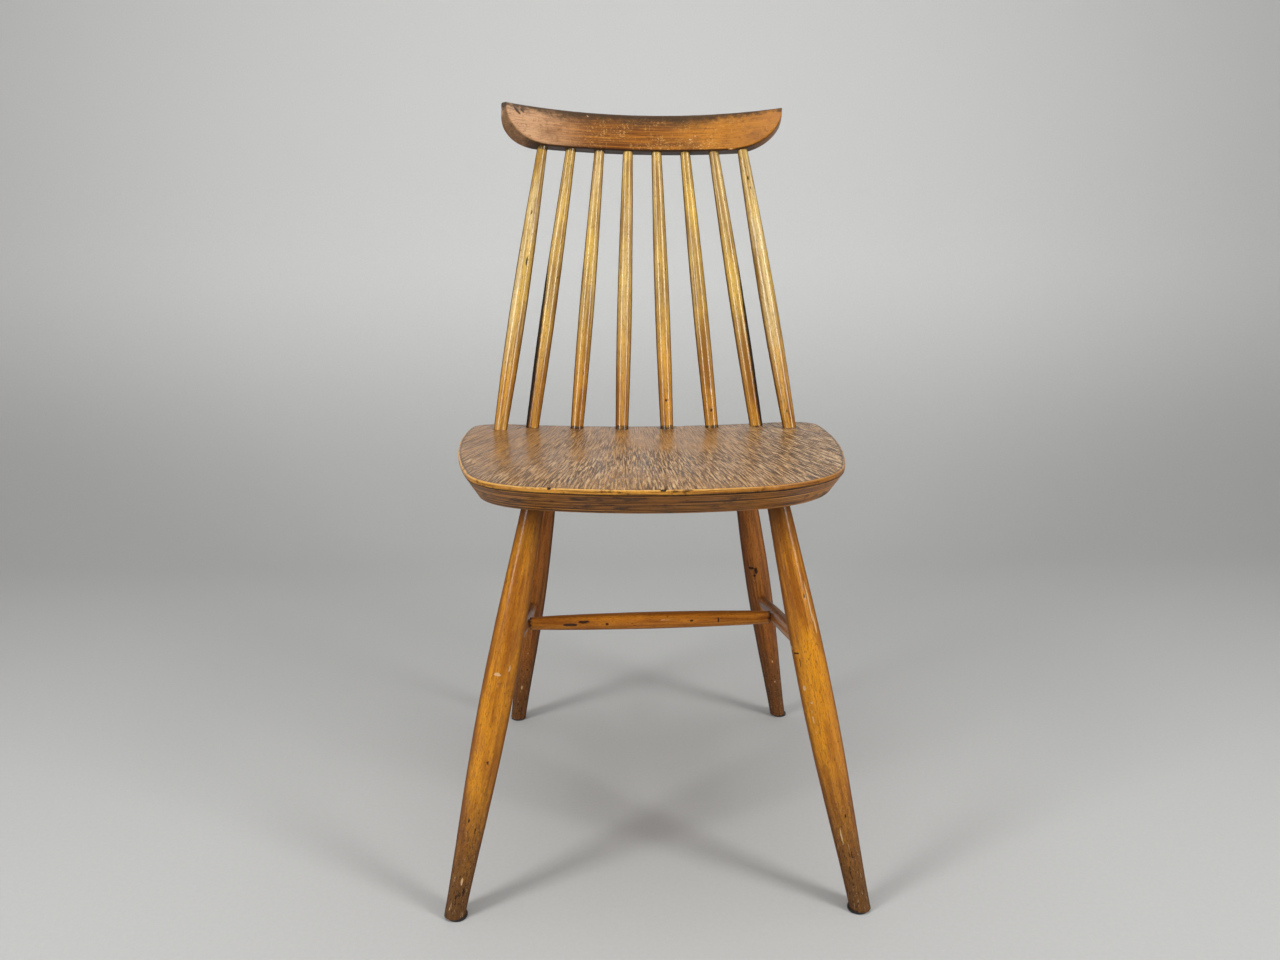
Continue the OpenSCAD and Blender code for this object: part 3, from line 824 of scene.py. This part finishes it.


# Woods of the turned pieces: varnish, its golden clouds, coat, painted shade on the flanks turned away from
# the front, dirt at the foot (which also turns on a painted shade under the seat), tint by height
# (from, to, strength), and the paler varnish of the outermost pieces
TURNED_WOODS = {
    "spindle_wood": ("honey", (0.82, 0.52, 0.095), 0.7, 0.95, 0, (0.62, 0.46, 0.8), (0.76, 0.58, 0.27)),
    "front_leg_wood": ("amber", (0.74, 0.30, 0.012), 0.25, 0.8, 0.9, None, None),
    # painted shade: the rear legs' varnish and clouds are darker copies of the front legs', for the seat's
    # shadow
    "rear_leg_wood": ("russet_in_shade", (0.40, 0.125, 0.016), 0.2, 0.8, 0.65, None, None),
    "stretcher_wood": ("amber", (0.66, 0.26, 0.020), 0.35, 0.7, 0, (0.60, 0.45, 0.2), None),
    "side_stretcher_wood": ("russet_in_shade", (0.42, 0.17, 0.035), 0.3, 0.6, 0, None, None),
}


def turned_finish(name):
    """Varnish over wood whose grain runs along the piece, with worn, dented and dirty places."""
    varnish, golden, gloss, flank_shade_strength, foot_dirt, tinted, outer = TURNED_WOODS[name]
    c = bpy.context.scene.chair_finish
    pale, deep, dirt_and_shade = getattr(c, varnish), getattr(c, varnish + "_deep"), c.dirt_and_shade
    f = Finish(name)
    grain, mark, face = f.attribute("grain"), f.attribute("mark"), f.attribute("edge")
    bands = f.noise(grain, (170, 170, 6), 6, 0.66, 0.4)
    fibres = f.noise(grain, (1300, 1300, 32), 3, 0.6)
    clouds = f.noise(grain, (30, 30, 11), 5, 0.62)
    ragged = f.minus(f.noise(grain, (420, 420, 150), 6, 0.75), 0.5)
    if outer:
        # the outermost pieces are rubbed paler
        split = f.maths("MULTIPLY_ADD", f.height(), 0.15, f.size(f.part(f.place(), "X")))
        pale = f.mix(f.ease(split, 0.226, 0.233), pale, outer)
    f.tone = f.mix(f.ease(bands, 0.38, 0.62), deep, pale)
    f.lay(golden, f.ease(clouds, 0.42, 0.66, 0, 0.75))
    f.lay(deep, f.ease(fibres, 0.46, 0.68, 0, 0.6))
    dashes = f.ease(f.noise(grain, (1250, 1250, 230), 3), 0.57, 0.64)
    f.lay(f.mix(0.5, deep, dirt_and_shade), dashes, 0.7)
    # painted shade: the flanks, turned away from each piece's front, are darkened towards a dark brown
    turned_away = f.plus(f.size(face), f.times(ragged, 0.5))
    painted_flank_shade = f.times(f.ease(turned_away, 0.70, 0.34), flank_shade_strength)
    f.lay(f.mix(0.55, deep, dirt_and_shade), painted_flank_shade)
    # short pale scratches and rubbed specks
    scratches = f.ease(f.noise(grain, (760, 760, 70), 4, 0.7), 0.655, 0.70)
    rubbed = f.ease(f.noise(grain, (70, 70, 22), 5, 0.7), 0.50, 0.66)
    f.lay(c.bare, scratches, f.plus(rubbed, 0.25), 0.6)
    if tinted:
        # the varnish stays deeper and redder towards the lower end
        upper, lower, strength = tinted
        f.lay(golden, f.ease(f.height(), upper, lower, 0, strength), blend="MULTIPLY")
    if foot_dirt:
        # painted shade: the legs' tops are darkened just under the seat, where its shadow falls
        shaded = f.ease(f.plus(f.height(), f.times(ragged, 0.05)), 0.350, 0.410, 0, 0.88)
        f.lay(f.mix(0.6, deep, dirt_and_shade), shaded)
        level = f.plus(f.height(), f.times(ragged, -0.12))
        dirty = f.times(f.ease(level, 0.175, 0.02), foot_dirt)
        f.lay(c.foot_dirt, dirty)
        low = f.ease(level, 0.20, 0.03)
        spots = f.noise(grain, (600, 600, 200), 5, 0.75)
        f.lay(dirt_and_shade, f.ease(spots, 0.54, 0.61), low, 0.9)
        scuffs = f.noise(grain, (520, 520, 110), 5, 0.8)
        f.lay(c.bare, f.ease(scuffs, 0.60, 0.66), low, 0.6)
    # mark holds dents, joint dirt and the painted shade down spindles 2 and 7's outer flanks
    dark = f.ease(f.plus(mark, f.times(ragged, 1.3)), 0.30, 0.60)
    lost = f.ease(f.minus(f.times(mark, -1), f.times(ragged, 1.3)), 0.30, 0.55)
    f.lay(dirt_and_shade, dark, 0.9)
    f.lay(c.bare, lost, 0.75)
    roughness = f.plus(f.ease(clouds, 0.3, 0.7, 0.32, 0.44), f.times(f.ease(fibres, 0.3, 0.7), 0.10),
                       f.times(f.maths("MAXIMUM", dark, lost), 0.3), f.times(painted_flank_shade, 0.35))
    if foot_dirt:
        roughness = f.plus(roughness, f.times(dirty, 0.2))
    relief = f.plus(f.times(fibres, 0.5), f.times(dashes, -0.8), f.times(ragged, 0.8))
    # the painted flank shade also takes the coat off the flanks, leaving them matt
    coat = f.maths("MULTIPLY_ADD", painted_flank_shade, -gloss, gloss)
    return f.done(roughness, f.bump(relief, 0.35, 0.00035), coat, coat_roughness=0.14, specular=0.1)


def seat_finish():
    """Worn, crazed varnish over open pores that run from front to back, and a rubbed golden edge with a
    painted highlight line.
    """
    c = bpy.context.scene.chair_finish
    f = Finish("seat_varnish")
    grain, mark, edge = f.attribute("grain"), f.attribute("mark"), f.attribute("edge")
    x, y = f.part(grain, "X"), f.part(grain, "Y")
    # the grain lines spread apart towards the front
    spread = f.maths("DIVIDE", x, f.maths("MULTIPLY_ADD", y, -1.4, 1.25))
    flow = f.add("ShaderNodeCombineXYZ", {"X": spread, "Y": y}).outputs[0]
    streaks = f.noise(flow, (300, 10, 1), 6, 0.7, 0.7)
    dashes = f.noise(flow, (860, 27, 1), 5, 0.70, 0.5)
    fine = f.noise(flow, (1700, 120, 1), 3)
    clouds = f.noise(flow, (13, 7, 1), 5, 0.62)
    ragged = f.minus(f.noise(grain, (110, 110, 110), 5, 0.7), 0.5)
    wear = f.plus(f.ease(y, 0.10, -0.13, 0.15, 0.7), f.ease(clouds, 0.38, 0.62, -0.25, 0.3))
    wear = f.maths("MAXIMUM", wear, f.ease(x, 0.06, 0.16, 0, 1))
    wear = f.minus(wear, f.ease(x, -0.09, -0.17, 0, 0.35))
    wear = f.maths("MAXIMUM", wear, 0.08)
    f.tone = f.mix(f.ease(clouds, 0.35, 0.65), c.seat, (0.20, 0.096, 0.036))
    f.lay((0.20, 0.090, 0.026), f.ease(x, -0.05, -0.16, 0, 0.75))
    f.lay((0.46, 0.215, 0.048), f.ease(streaks, 0.42, 0.60, 0, 0.85))
    dark_pores = f.ease(dashes, 0.49, 0.545)
    f.lay(c.seat_deep, dark_pores, f.maths("MULTIPLY_ADD", wear, 0.45, 0.48))
    flaked = f.times(f.ease(dashes, 0.465, 0.425), wear)
    f.lay((0.84, 0.57, 0.29), flaked, 0.9)
    f.lay(c.seat_deep, f.ease(fine, 0.58, 0.70), 0.4)
    # the panel's worn edge, with a painted highlight line near its top
    bare_edge = f.ease(f.plus(edge, f.times(ragged, 0.003)), -0.0022, -0.0006)
    ply = f.noise(grain, (28, 28, 1300), 4, 0.6)
    edge_tone = f.mix(f.ease(ply, 0.40, 0.58), (0.30, 0.12, 0.022), c.edge)
    # painted highlight: a pale golden line along the top of the panel's side, just under the rim's round
    edge_tone = f.mix(f.ease(edge, 0.0013, 0.0004, 0, 0.7), edge_tone, (0.80, 0.45, 0.12))
    stains = f.ease(f.noise(grain, (60, 60, 160), 6, 0.72), 0.54, 0.66)
    edge_tone = f.mix(f.times(stains, 0.8), edge_tone, c.base_deep)
    right = f.ease(f.plus(x, f.times(ragged, 0.12)), 0.02, 0.12)
    edge_tone = f.mix(f.times(right, 0.75), edge_tone, (0.52, 0.38, 0.32), blend="MULTIPLY")
    f.lay(edge_tone, bare_edge)
    brown_line = f.ease(f.size(f.plus(edge, 0.0028)), 0.0013, 0.0002)
    f.lay((0.085, 0.034, 0.010), brown_line, 0.7)
    seam = f.ease(f.plus(edge, f.times(ragged, 0.0012)), 0.0038, 0.0047)
    f.lay(c.dirt_and_shade, seam, 0.8)
    dark = f.ease(f.plus(mark, f.times(ragged, 0.5)), 0.35, 0.7)
    f.lay(c.dirt_and_shade, dark, 0.92)
    roughness = f.plus(f.ease(clouds, 0.3, 0.7, 0.24, 0.38), f.times(dark_pores, 0.15))
    relief = f.plus(f.times(f.ease(dashes, 0.38, 0.60), -1.0), f.times(streaks, -0.8))
    relief = f.times(f.plus(relief, f.times(fine, -0.3)), f.maths("MULTIPLY_ADD", wear, 0.9, 0.15))
    f.feed(f.shader.inputs["Coat Normal"], f.bump(relief, 0.3, 0.0005))
    return f.done(roughness, f.bump(relief, 0.7, 0.0009), coat=0.4, coat_roughness=0.11, specular=0.03)


def base_finish():
    """The bevel's long horizontal grain lines, dirtier towards the seam and the left end."""
    c = bpy.context.scene.chair_finish
    f = Finish("seat_wood")
    grain, mark = f.attribute("grain"), f.attribute("mark")
    lines = f.noise(grain, (3.5, 4.5, 820), 5, 0.62, 0.25)
    fine = f.noise(grain, (60, 60, 1700), 3)
    clouds = f.noise(grain, (18, 18, 40), 5, 0.6)
    f.tone = f.mix(f.ease(lines, 0.44, 0.56), c.base_deep, c.base)
    f.lay((0.60, 0.27, 0.055), f.ease(lines, 0.53, 0.64), 0.9)
    f.lay((0.40, 0.155, 0.028), f.ease(clouds, 0.48, 0.68, 0, 0.5))
    f.lay(c.base_deep, f.ease(fine, 0.50, 0.70, 0, 0.6))
    left = f.ease(f.part(grain, "X"), -0.11, -0.20)
    f.lay((0.100, 0.055, 0.018), left, 0.4)
    ragged = f.minus(f.noise(grain, (140, 140, 320), 5, 0.7), 0.5)
    stains = f.ease(f.noise(grain, (40, 45, 150), 6, 0.72), 0.50, 0.66)
    f.lay(c.dirt_and_shade, stains, 0.85)
    dark = f.ease(f.plus(mark, f.times(ragged, 0.8)), 0.25, 0.65)
    f.lay(c.dirt_and_shade, dark, 0.9)
    worn_low = f.ease(f.plus(f.attribute("edge"), f.times(ragged, 0.002)), 0.0016, 0.0004)
    f.lay((0.40, 0.20, 0.07), worn_low, 0.5)
    roughness = f.plus(f.ease(clouds, 0.3, 0.7, 0.40, 0.55), f.times(dark, 0.2))
    normal = f.bump(f.plus(lines, f.times(fine, 0.6)), 0.6, 0.0005)
    return f.done(roughness, normal, coat=0.05, coat_roughness=0.25, specular=0.2)


def crest_finish():
    """Brown varnish with fine lengthwise grain, a grimy top edge and rubbed flecks in the middle."""
    c = bpy.context.scene.chair_finish
    f = Finish("crest_wood")
    grain, mark, edge = f.attribute("grain"), f.attribute("mark"), f.attribute("edge")
    x = f.part(grain, "X")
    bands = f.noise(grain, (9, 190, 400), 6, 0.68, 0.5)
    fibres = f.noise(grain, (30, 600, 1200), 3, 0.6)
    clouds = f.noise(grain, (22, 24, 34), 5, 0.62)
    ragged = f.minus(f.noise(grain, (130, 180, 240), 6, 0.75), 0.5)
    f.tone = f.mix(f.ease(bands, 0.40, 0.60), c.crest_deep, c.crest)
    f.lay((0.56, 0.215, 0.018), f.ease(x, 0.02, 0.10), 0.7)
    f.lay((0.62, 0.36, 0.185), f.ease(x, -0.06, -0.14), 0.75)
    f.lay(c.crest_deep, f.ease(fibres, 0.47, 0.68, 0, 0.65))
    f.lay((0.16, 0.055, 0.010), f.ease(clouds, 0.52, 0.72, 0, 0.6))
    flecks = f.ease(f.noise(grain, (340, 420, 430), 5, 0.78), 0.53, 0.61)
    middle = f.times(f.ease(f.size(f.minus(x, 0.02)), 0.15, 0.03),
                     f.ease(f.noise(grain, (34, 40, 60), 4), 0.40, 0.60))
    f.lay((0.74, 0.42, 0.11), flecks, middle, 0.75)
    mottle = f.ease(f.noise(grain, (210, 260, 300), 5, 0.75), 0.54, 0.64)
    f.lay(c.crest_deep, mottle, 0.5)
    scratch = f.ease(f.noise(grain, (1100, 90, 90), 2, turn=(0, 0.5, 0)), 0.66, 0.70)
    f.lay((0.70, 0.42, 0.16), scratch, 0.4)
    # grime from hands along the top edge
    reach = f.times(f.ease(f.size(f.plus(x, 0.01)), 0.175, 0.06, 0.45, 1), 0.0185)
    smudges = f.minus(f.noise(grain, (36, 60, 90), 3), 0.5)
    depth = f.plus(edge, f.times(ragged, 0.022), f.times(smudges, 0.014))
    grimy = f.ease(f.maths("DIVIDE", depth, reach), 1.1, 0.2)
    f.lay((0.042, 0.022, 0.007), grimy, 0.92)
    # mark holds the dents' tone and the painted shade along the rail's underside
    dark = f.ease(f.plus(mark, f.times(ragged, 0.6)), 0.1, 0.8)
    lost = f.ease(f.minus(f.times(mark, -1), f.times(ragged, 1.0)), 0.25, 0.55)
    f.lay((0.035, 0.016, 0.007), dark, 0.92)
    f.lay((0.80, 0.56, 0.30), lost, 0.8)
    roughness = f.plus(f.ease(clouds, 0.3, 0.7, 0.34, 0.48), f.times(grimy, 0.2))
    relief = f.plus(f.times(fibres, 0.7), f.times(flecks, middle, 0.5))
    normal = f.bump(relief, 0.45, 0.0004)
    return f.done(roughness, normal, coat=0.15, coat_roughness=0.32, specular=0.22)


def glide_finish():
    f = Finish("glide_black")
    dust = f.noise(f.place(), (420, 420, 420), 5, 0.7)
    rubber = bpy.context.scene.chair_finish.rubber
    f.tone = f.mix(f.ease(dust, 0.55, 0.75, 0, 0.35), rubber, (0.09, 0.08, 0.07))
    return f.done(f.ease(dust, 0.3, 0.7, 0.35, 0.6), f.bump(dust, 0.2, 0.0002))


# ---- operators ----

class CHAIR_OT_seat(bpy.types.Operator):
    """Build the seat's dished panel and its bevelled base"""
    bl_idname = "chair.seat"
    bl_label = "Seat"

    def execute(self, context):
        seat_panel_piece(seat_finish())
        seat_base_piece(base_finish())
        return {"FINISHED"}


class CHAIR_OT_crest(bpy.types.Operator):
    """Build the bent crest rail"""
    bl_idname = "chair.crest"
    bl_label = "Crest rail"

    def execute(self, context):
        crest_piece(crest_finish())
        return {"FINISHED"}


# Marks on each turned piece: coordinate on its long way, angle from its face towards +X, length, width,
# depth, and tone (dark above 0, bare wood below 0), in millimetres and degrees
PIECE_MARKS = {
    "spindle_1": [(640, 12, 24, 2.2, 0.4, 0.9), (700, -5, 10, 3, 0.2, 0.6)],
    # spindle_2's mark is painted shade: a long dark band down its outer flank
    "spindle_2": [(520, -76, 340, 20, 0, 1.0)],
    "spindle_3": [(500, 15, 6, 2, 0.2, 0.8), (620, -10, 4, 2, 0.2, 0.7)],
    "spindle_5": [(465, 0, 5, 4, 0.4, 1.0)],
    "spindle_6": [(452, 5, 6, 4, 0.3, 0.9)],
    # spindle_7's mark is painted shade: a long dark band down its outer flank
    "spindle_7": [(520, 76, 340, 20, 0, 1.0)],
    "spindle_8": [(742, 0, 8, 3, 0.3, 0.9), (730, 10, 5, 2, 0.2, 0.8), (455, -10, 6, 2, 0.3, 0.9)],
    "leg_front_left": [
        (92, 20, 9, 2.2, 0.6, 0.8), (30, 25, 13, 2.6, 0.5, 0.8), (24, -10, 8, 3.2, 0.5, 0.7),
        (245, -10, 4, 10, 0.4, -0.9), (252, 30, 12, 2, 0.2, -0.8), (160, 15, 5, 3, 0.4, 0.8),
        (101, -15, 6, 3, 0.4, 0.9), (40, 5, 12, 3, 0.4, -0.8)],
    "leg_front_right": [
        (263, -55, 2.5, 10, 0.5, 0.9), (254, -45, 12, 2, 0.4, 0.8), (229, -48, 7, 5, 0.6, -1.0),
        (310, 38, 60, 2.5, 0.4, -1.0), (288, 45, 26, 3, 0.3, -1.0), (198, -38, 12, 2, 0.3, -0.8),
        (206, -36, 5, 2, 0.3, -0.8), (186, -38, 4, 2, 0.3, -0.8), (80, -25, 28, 2.5, 0.3, -0.7),
        (62, 5, 20, 1.8, 0.4, 0.7), (45, -20, 14, 1.8, 0.4, 0.7), (100, 10, 9, 1.8, 0.3, 0.7)],
    "leg_rear_left": [(60, 0, 10, 3, 0.4, -0.8), (90, 20, 6, 3, 0.3, 0.9)],
    "leg_rear_right": [
        (243, -8, 14, 6, 0.7, 1.0), (247, -30, 6, 10, 0.5, 1.0), (236, -18, 6, 5, 0.4, 0.9),
        (98, 10, 6, 2, 0.3, -0.8)],
    "cross_stretcher": [
        (-94, 0, 24, 5, 0.5, 1.0), (-78, -20, 20, 4, 0.4, 0.9), (-50, 0, 6, 4, 0.5, 0.8),
        (51, -10, 7, 5, 0.4, 0.7), (83, -10, 3, 9, 0.3, 0.9), (20, -20, 30, 2, 0.2, -0.5)],
}


def marks_of(name, low, high, count):
    """A piece's own marks, and small random dents and nicks between low and high, dark or pale."""
    rng = random.Random("marks " + name)
    deepest = bpy.context.scene.chair_turning.dent_depth
    marks = [Mark(at / 1000, angle, length / 1000, width / 1000, depth / 1000, tone)
             for at, angle, length, width, depth, tone in PIECE_MARKS.get(name, [])]
    for _ in range(count):
        length = rng.uniform(0.003, 0.008)
        marks.append(Mark(rng.uniform(low, high), rng.uniform(-180, 180), length,
                          length * rng.uniform(0.3, 0.6), deepest * rng.uniform(0.3, 1),
                          rng.choice((-0.6, -0.45, 0.45, 0.6))))
    return marks


class CHAIR_OT_spindles(bpy.types.Operator):
    """Turn the eight back spindles"""
    bl_idname = "chair.spindles"
    bl_label = "Spindles"

    def execute(self, context):
        finish = turned_finish("spindle_wood")
        seat_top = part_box("seat_panel")[1].z
        rail_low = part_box("crest_rail")[0].z
        for name in SPINDLES:
            turned_piece(name, finish, marks_of(name, seat_top, rail_low, 6),
                         ends=(seat_top - SEAT_SINK, rail_low + RAIL_SINK), around=48)
        return {"FINISHED"}


class CHAIR_OT_legs(bpy.types.Operator):
    """Turn the four legs and cut their feet level"""
    bl_idname = "chair.legs"
    bl_label = "Legs"

    def execute(self, context):
        finishes = {"front": turned_finish("front_leg_wood"), "rear": turned_finish("rear_leg_wood")}
        seat_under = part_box("seat_base")[0].z
        for corner in CORNERS:
            name, which = "leg_" + corner, corner.split("_")[0]
            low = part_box(name)[0].z
            turned_piece(name, finishes[which], marks_of(name, low, seat_under, 16),
                         ends=(low, seat_under), foot_level=low, grime=0.7, joint_run=0.010)
        return {"FINISHED"}


class CHAIR_OT_stretchers(bpy.types.Operator):
    """Turn the two side stretchers and the cross stretcher between them"""
    bl_idname = "chair.stretchers"
    bl_label = "Stretchers"

    def execute(self, context):
        finish = turned_finish("side_stretcher_wood")
        for name, side in (("side_stretcher_left", -1), ("side_stretcher_right", 1)):
            low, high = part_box(name)
            turned_piece(name, finish, marks_of(name, low.y, high.y, 6),
                         ends=(low.y + SIDE_TENON, high.y - SIDE_TENON), around=56, joint_run=0.008,
                         facing=(side, 0, 0))
        name, finish = "cross_stretcher", turned_finish("stretcher_wood")
        low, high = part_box(name)
        turned_piece(name, finish, marks_of(name, low.x, high.x, 6),
                     ends=(low.x + CROSS_TENON, high.x - CROSS_TENON), around=56, joint_run=0.008)
        return {"FINISHED"}


class CHAIR_OT_glides(bpy.types.Operator):
    """Turn the black glides that are nailed under the feet"""
    bl_idname = "chair.glides"
    bl_label = "Glides"

    def execute(self, context):
        finish = glide_finish()
        for corner in CORNERS:
            name = "glide_" + corner
            turning = Turning(name, way=2)
            bm = spun(eased(turning.rings, GLIDE_STEP), GLIDE_SEGMENTS)
            layers(bm)
            bm.transform(turning.place)
            finished(name, bm, finish)
        return {"FINISHED"}


class CHAIR_OT_stage(bpy.types.Operator):
    """Set the pale floor and backdrop, the soft lamps and the camera"""
    bl_idname = "chair.stage"
    bl_label = "Stage"

    def execute(self, context):
        settings = context.scene.chair_stage
        stage_floor(settings)
        stage_lamps(settings)
        stage_camera(settings)
        context.scene.view_settings.view_transform = "Standard"
        return {"FINISHED"}


def stage_floor(settings):
    """A floor that sweeps up into a backdrop behind the chair."""
    near, start, bend, tall, wide = -12.0, 0.95, 0.9, 4.0, 12.0
    line = [(near, 0.0), (start, 0.0)]
    line += [(start + bend * math.sin(a), bend * (1 - math.cos(a)))
             for a in (math.radians(6 * k) for k in range(1, 16))]
    line.append((start + bend, tall))
    bm = bmesh.new()
    verts = [bm.verts.new((-wide, y, z)) for y, z in line]
    edges = [bm.edges.new(pair) for pair in zip(verts, verts[1:])]
    made = bmesh.ops.extrude_edge_only(bm, edges=edges)["geom"]
    bmesh.ops.translate(bm, verts=of_kind(made, bmesh.types.BMVert), vec=(2 * wide, 0, 0))
    bmesh.ops.recalc_face_normals(bm, faces=bm.faces)
    if bm.faces[0].normal.z < 0:
        bmesh.ops.reverse_faces(bm, faces=bm.faces)
    f = Finish("floor_grey")
    grit = f.noise(f.place(), (220, 220, 220), 4, 0.7)
    f.tone = f.mix(f.ease(f.height(), 0.0, 0.7), settings.floor, settings.wall)
    f.lay((0, 0, 0), f.ease(grit, 0.3, 0.7, 0, 0.04))
    # far from the chair the floor fades into the pale surround
    reach = f.add("ShaderNodeVectorMath", {0: f.place()}, operation="LENGTH")
    seen = f.add("ShaderNodeLightPath").outputs["Is Camera Ray"]
    f.shader.inputs["Emission Color"].default_value = (1, 1, 1, 1)
    f.feed(f.shader.inputs["Emission Strength"],
           f.times(f.ease(reach.outputs["Value"], 2.6, 9.0, 0, settings.surround), seen))
    material = f.done(0.8, specular=0.2)
    placed("floor", smooth_mesh("floor", bm, material))


def stage_lamps(settings):
    world = bpy.data.worlds.new("surround")
    world.use_nodes = True
    background = world.node_tree.nodes["Background"]
    background.inputs["Color"].default_value = (1, 1, 1, 1)
    rays = world.node_tree.nodes.new("ShaderNodeLightPath")
    strength = world.node_tree.nodes.new("ShaderNodeMath")
    strength.operation = "MULTIPLY_ADD"
    strength.inputs[1].default_value = settings.surround - settings.sky
    strength.inputs[2].default_value = settings.sky
    world.node_tree.links.new(rays.outputs["Is Camera Ray"], strength.inputs[0])
    world.node_tree.links.new(strength.outputs[0], background.inputs["Strength"])
    bpy.context.scene.world = world
    low, high = CAD_BOX
    aim = (low + high) / 2
    lamps = (
        ("side_lamp_left", (-1.6, -1.25, 1.25), (0.5, 1.5), settings.key),
        ("side_lamp_right", (1.6, -1.25, 1.25), (0.5, 1.5), settings.key),
        ("top_lamp", (0.0, -0.35, 2.3), (2.2, 1.6), settings.top),
    )
    for name, place, (wide, tall), power in lamps:
        lamp = bpy.data.lights.new(name, "AREA")
        lamp.shape = "RECTANGLE"
        lamp.size, lamp.size_y = wide, tall
        lamp.energy = power
        thing = placed(name, lamp)
        thing.location = place
        thing.rotation_euler = (Vector(place) - aim).to_track_quat("Z", "Y").to_euler()


def stage_camera(settings):
    data = bpy.data.cameras.new("camera")
    data.lens = settings.lens
    data.sensor_width = 36
    data.shift_x, data.shift_y = settings.shift
    data.clip_start = 0.01
    camera = placed("camera", data)
    camera.matrix_world = (Matrix.Translation(settings.eye) @ Matrix.Rotation(-settings.pan, 4, "Z")
                           @ Matrix.Rotation(math.pi / 2 - settings.tilt, 4, "X")
                           @ Matrix.Rotation(-settings.roll, 4, "Z"))
    bpy.context.scene.camera = camera


class CHAIR_PT_panel(bpy.types.Panel):
    """Lists the chair's pieces in the sidebar"""
    bl_idname = "CHAIR_PT_panel"
    bl_label = "Worn Spindle Chair"
    bl_space_type = "VIEW_3D"
    bl_region_type = "UI"
    bl_category = "Chair"

    def draw(self, context):
        for operator in OPERATORS:
            self.layout.operator(operator.bl_idname)
        for name in SETTINGS:
            group = getattr(context.scene, name)
            box = self.layout.box()
            for key in group.__annotations__:
                box.prop(group, key)


SETTINGS = {
    "chair_turning": TurningSettings,
    "chair_seat": SeatSettings,
    "chair_crest": CrestSettings,
    "chair_finish": FinishSettings,
    "chair_stage": StageSettings,
}
OPERATORS = (CHAIR_OT_seat, CHAIR_OT_crest, CHAIR_OT_spindles, CHAIR_OT_legs, CHAIR_OT_stretchers,
             CHAIR_OT_glides, CHAIR_OT_stage)


def register():
    for cls in (*SETTINGS.values(), *OPERATORS, CHAIR_PT_panel):
        bpy.utils.register_class(cls)
    for name, group in SETTINGS.items():
        setattr(bpy.types.Scene, name, bpy.props.PointerProperty(type=group))


def unregister():
    for name in SETTINGS:
        delattr(bpy.types.Scene, name)
    for cls in reversed((*SETTINGS.values(), *OPERATORS, CHAIR_PT_panel)):
        bpy.utils.unregister_class(cls)


def main():
    register()
    for operator in OPERATORS:
        getattr(bpy.ops.chair, operator.bl_idname.split(".")[1])()


if __name__ == "__main__":
    main()
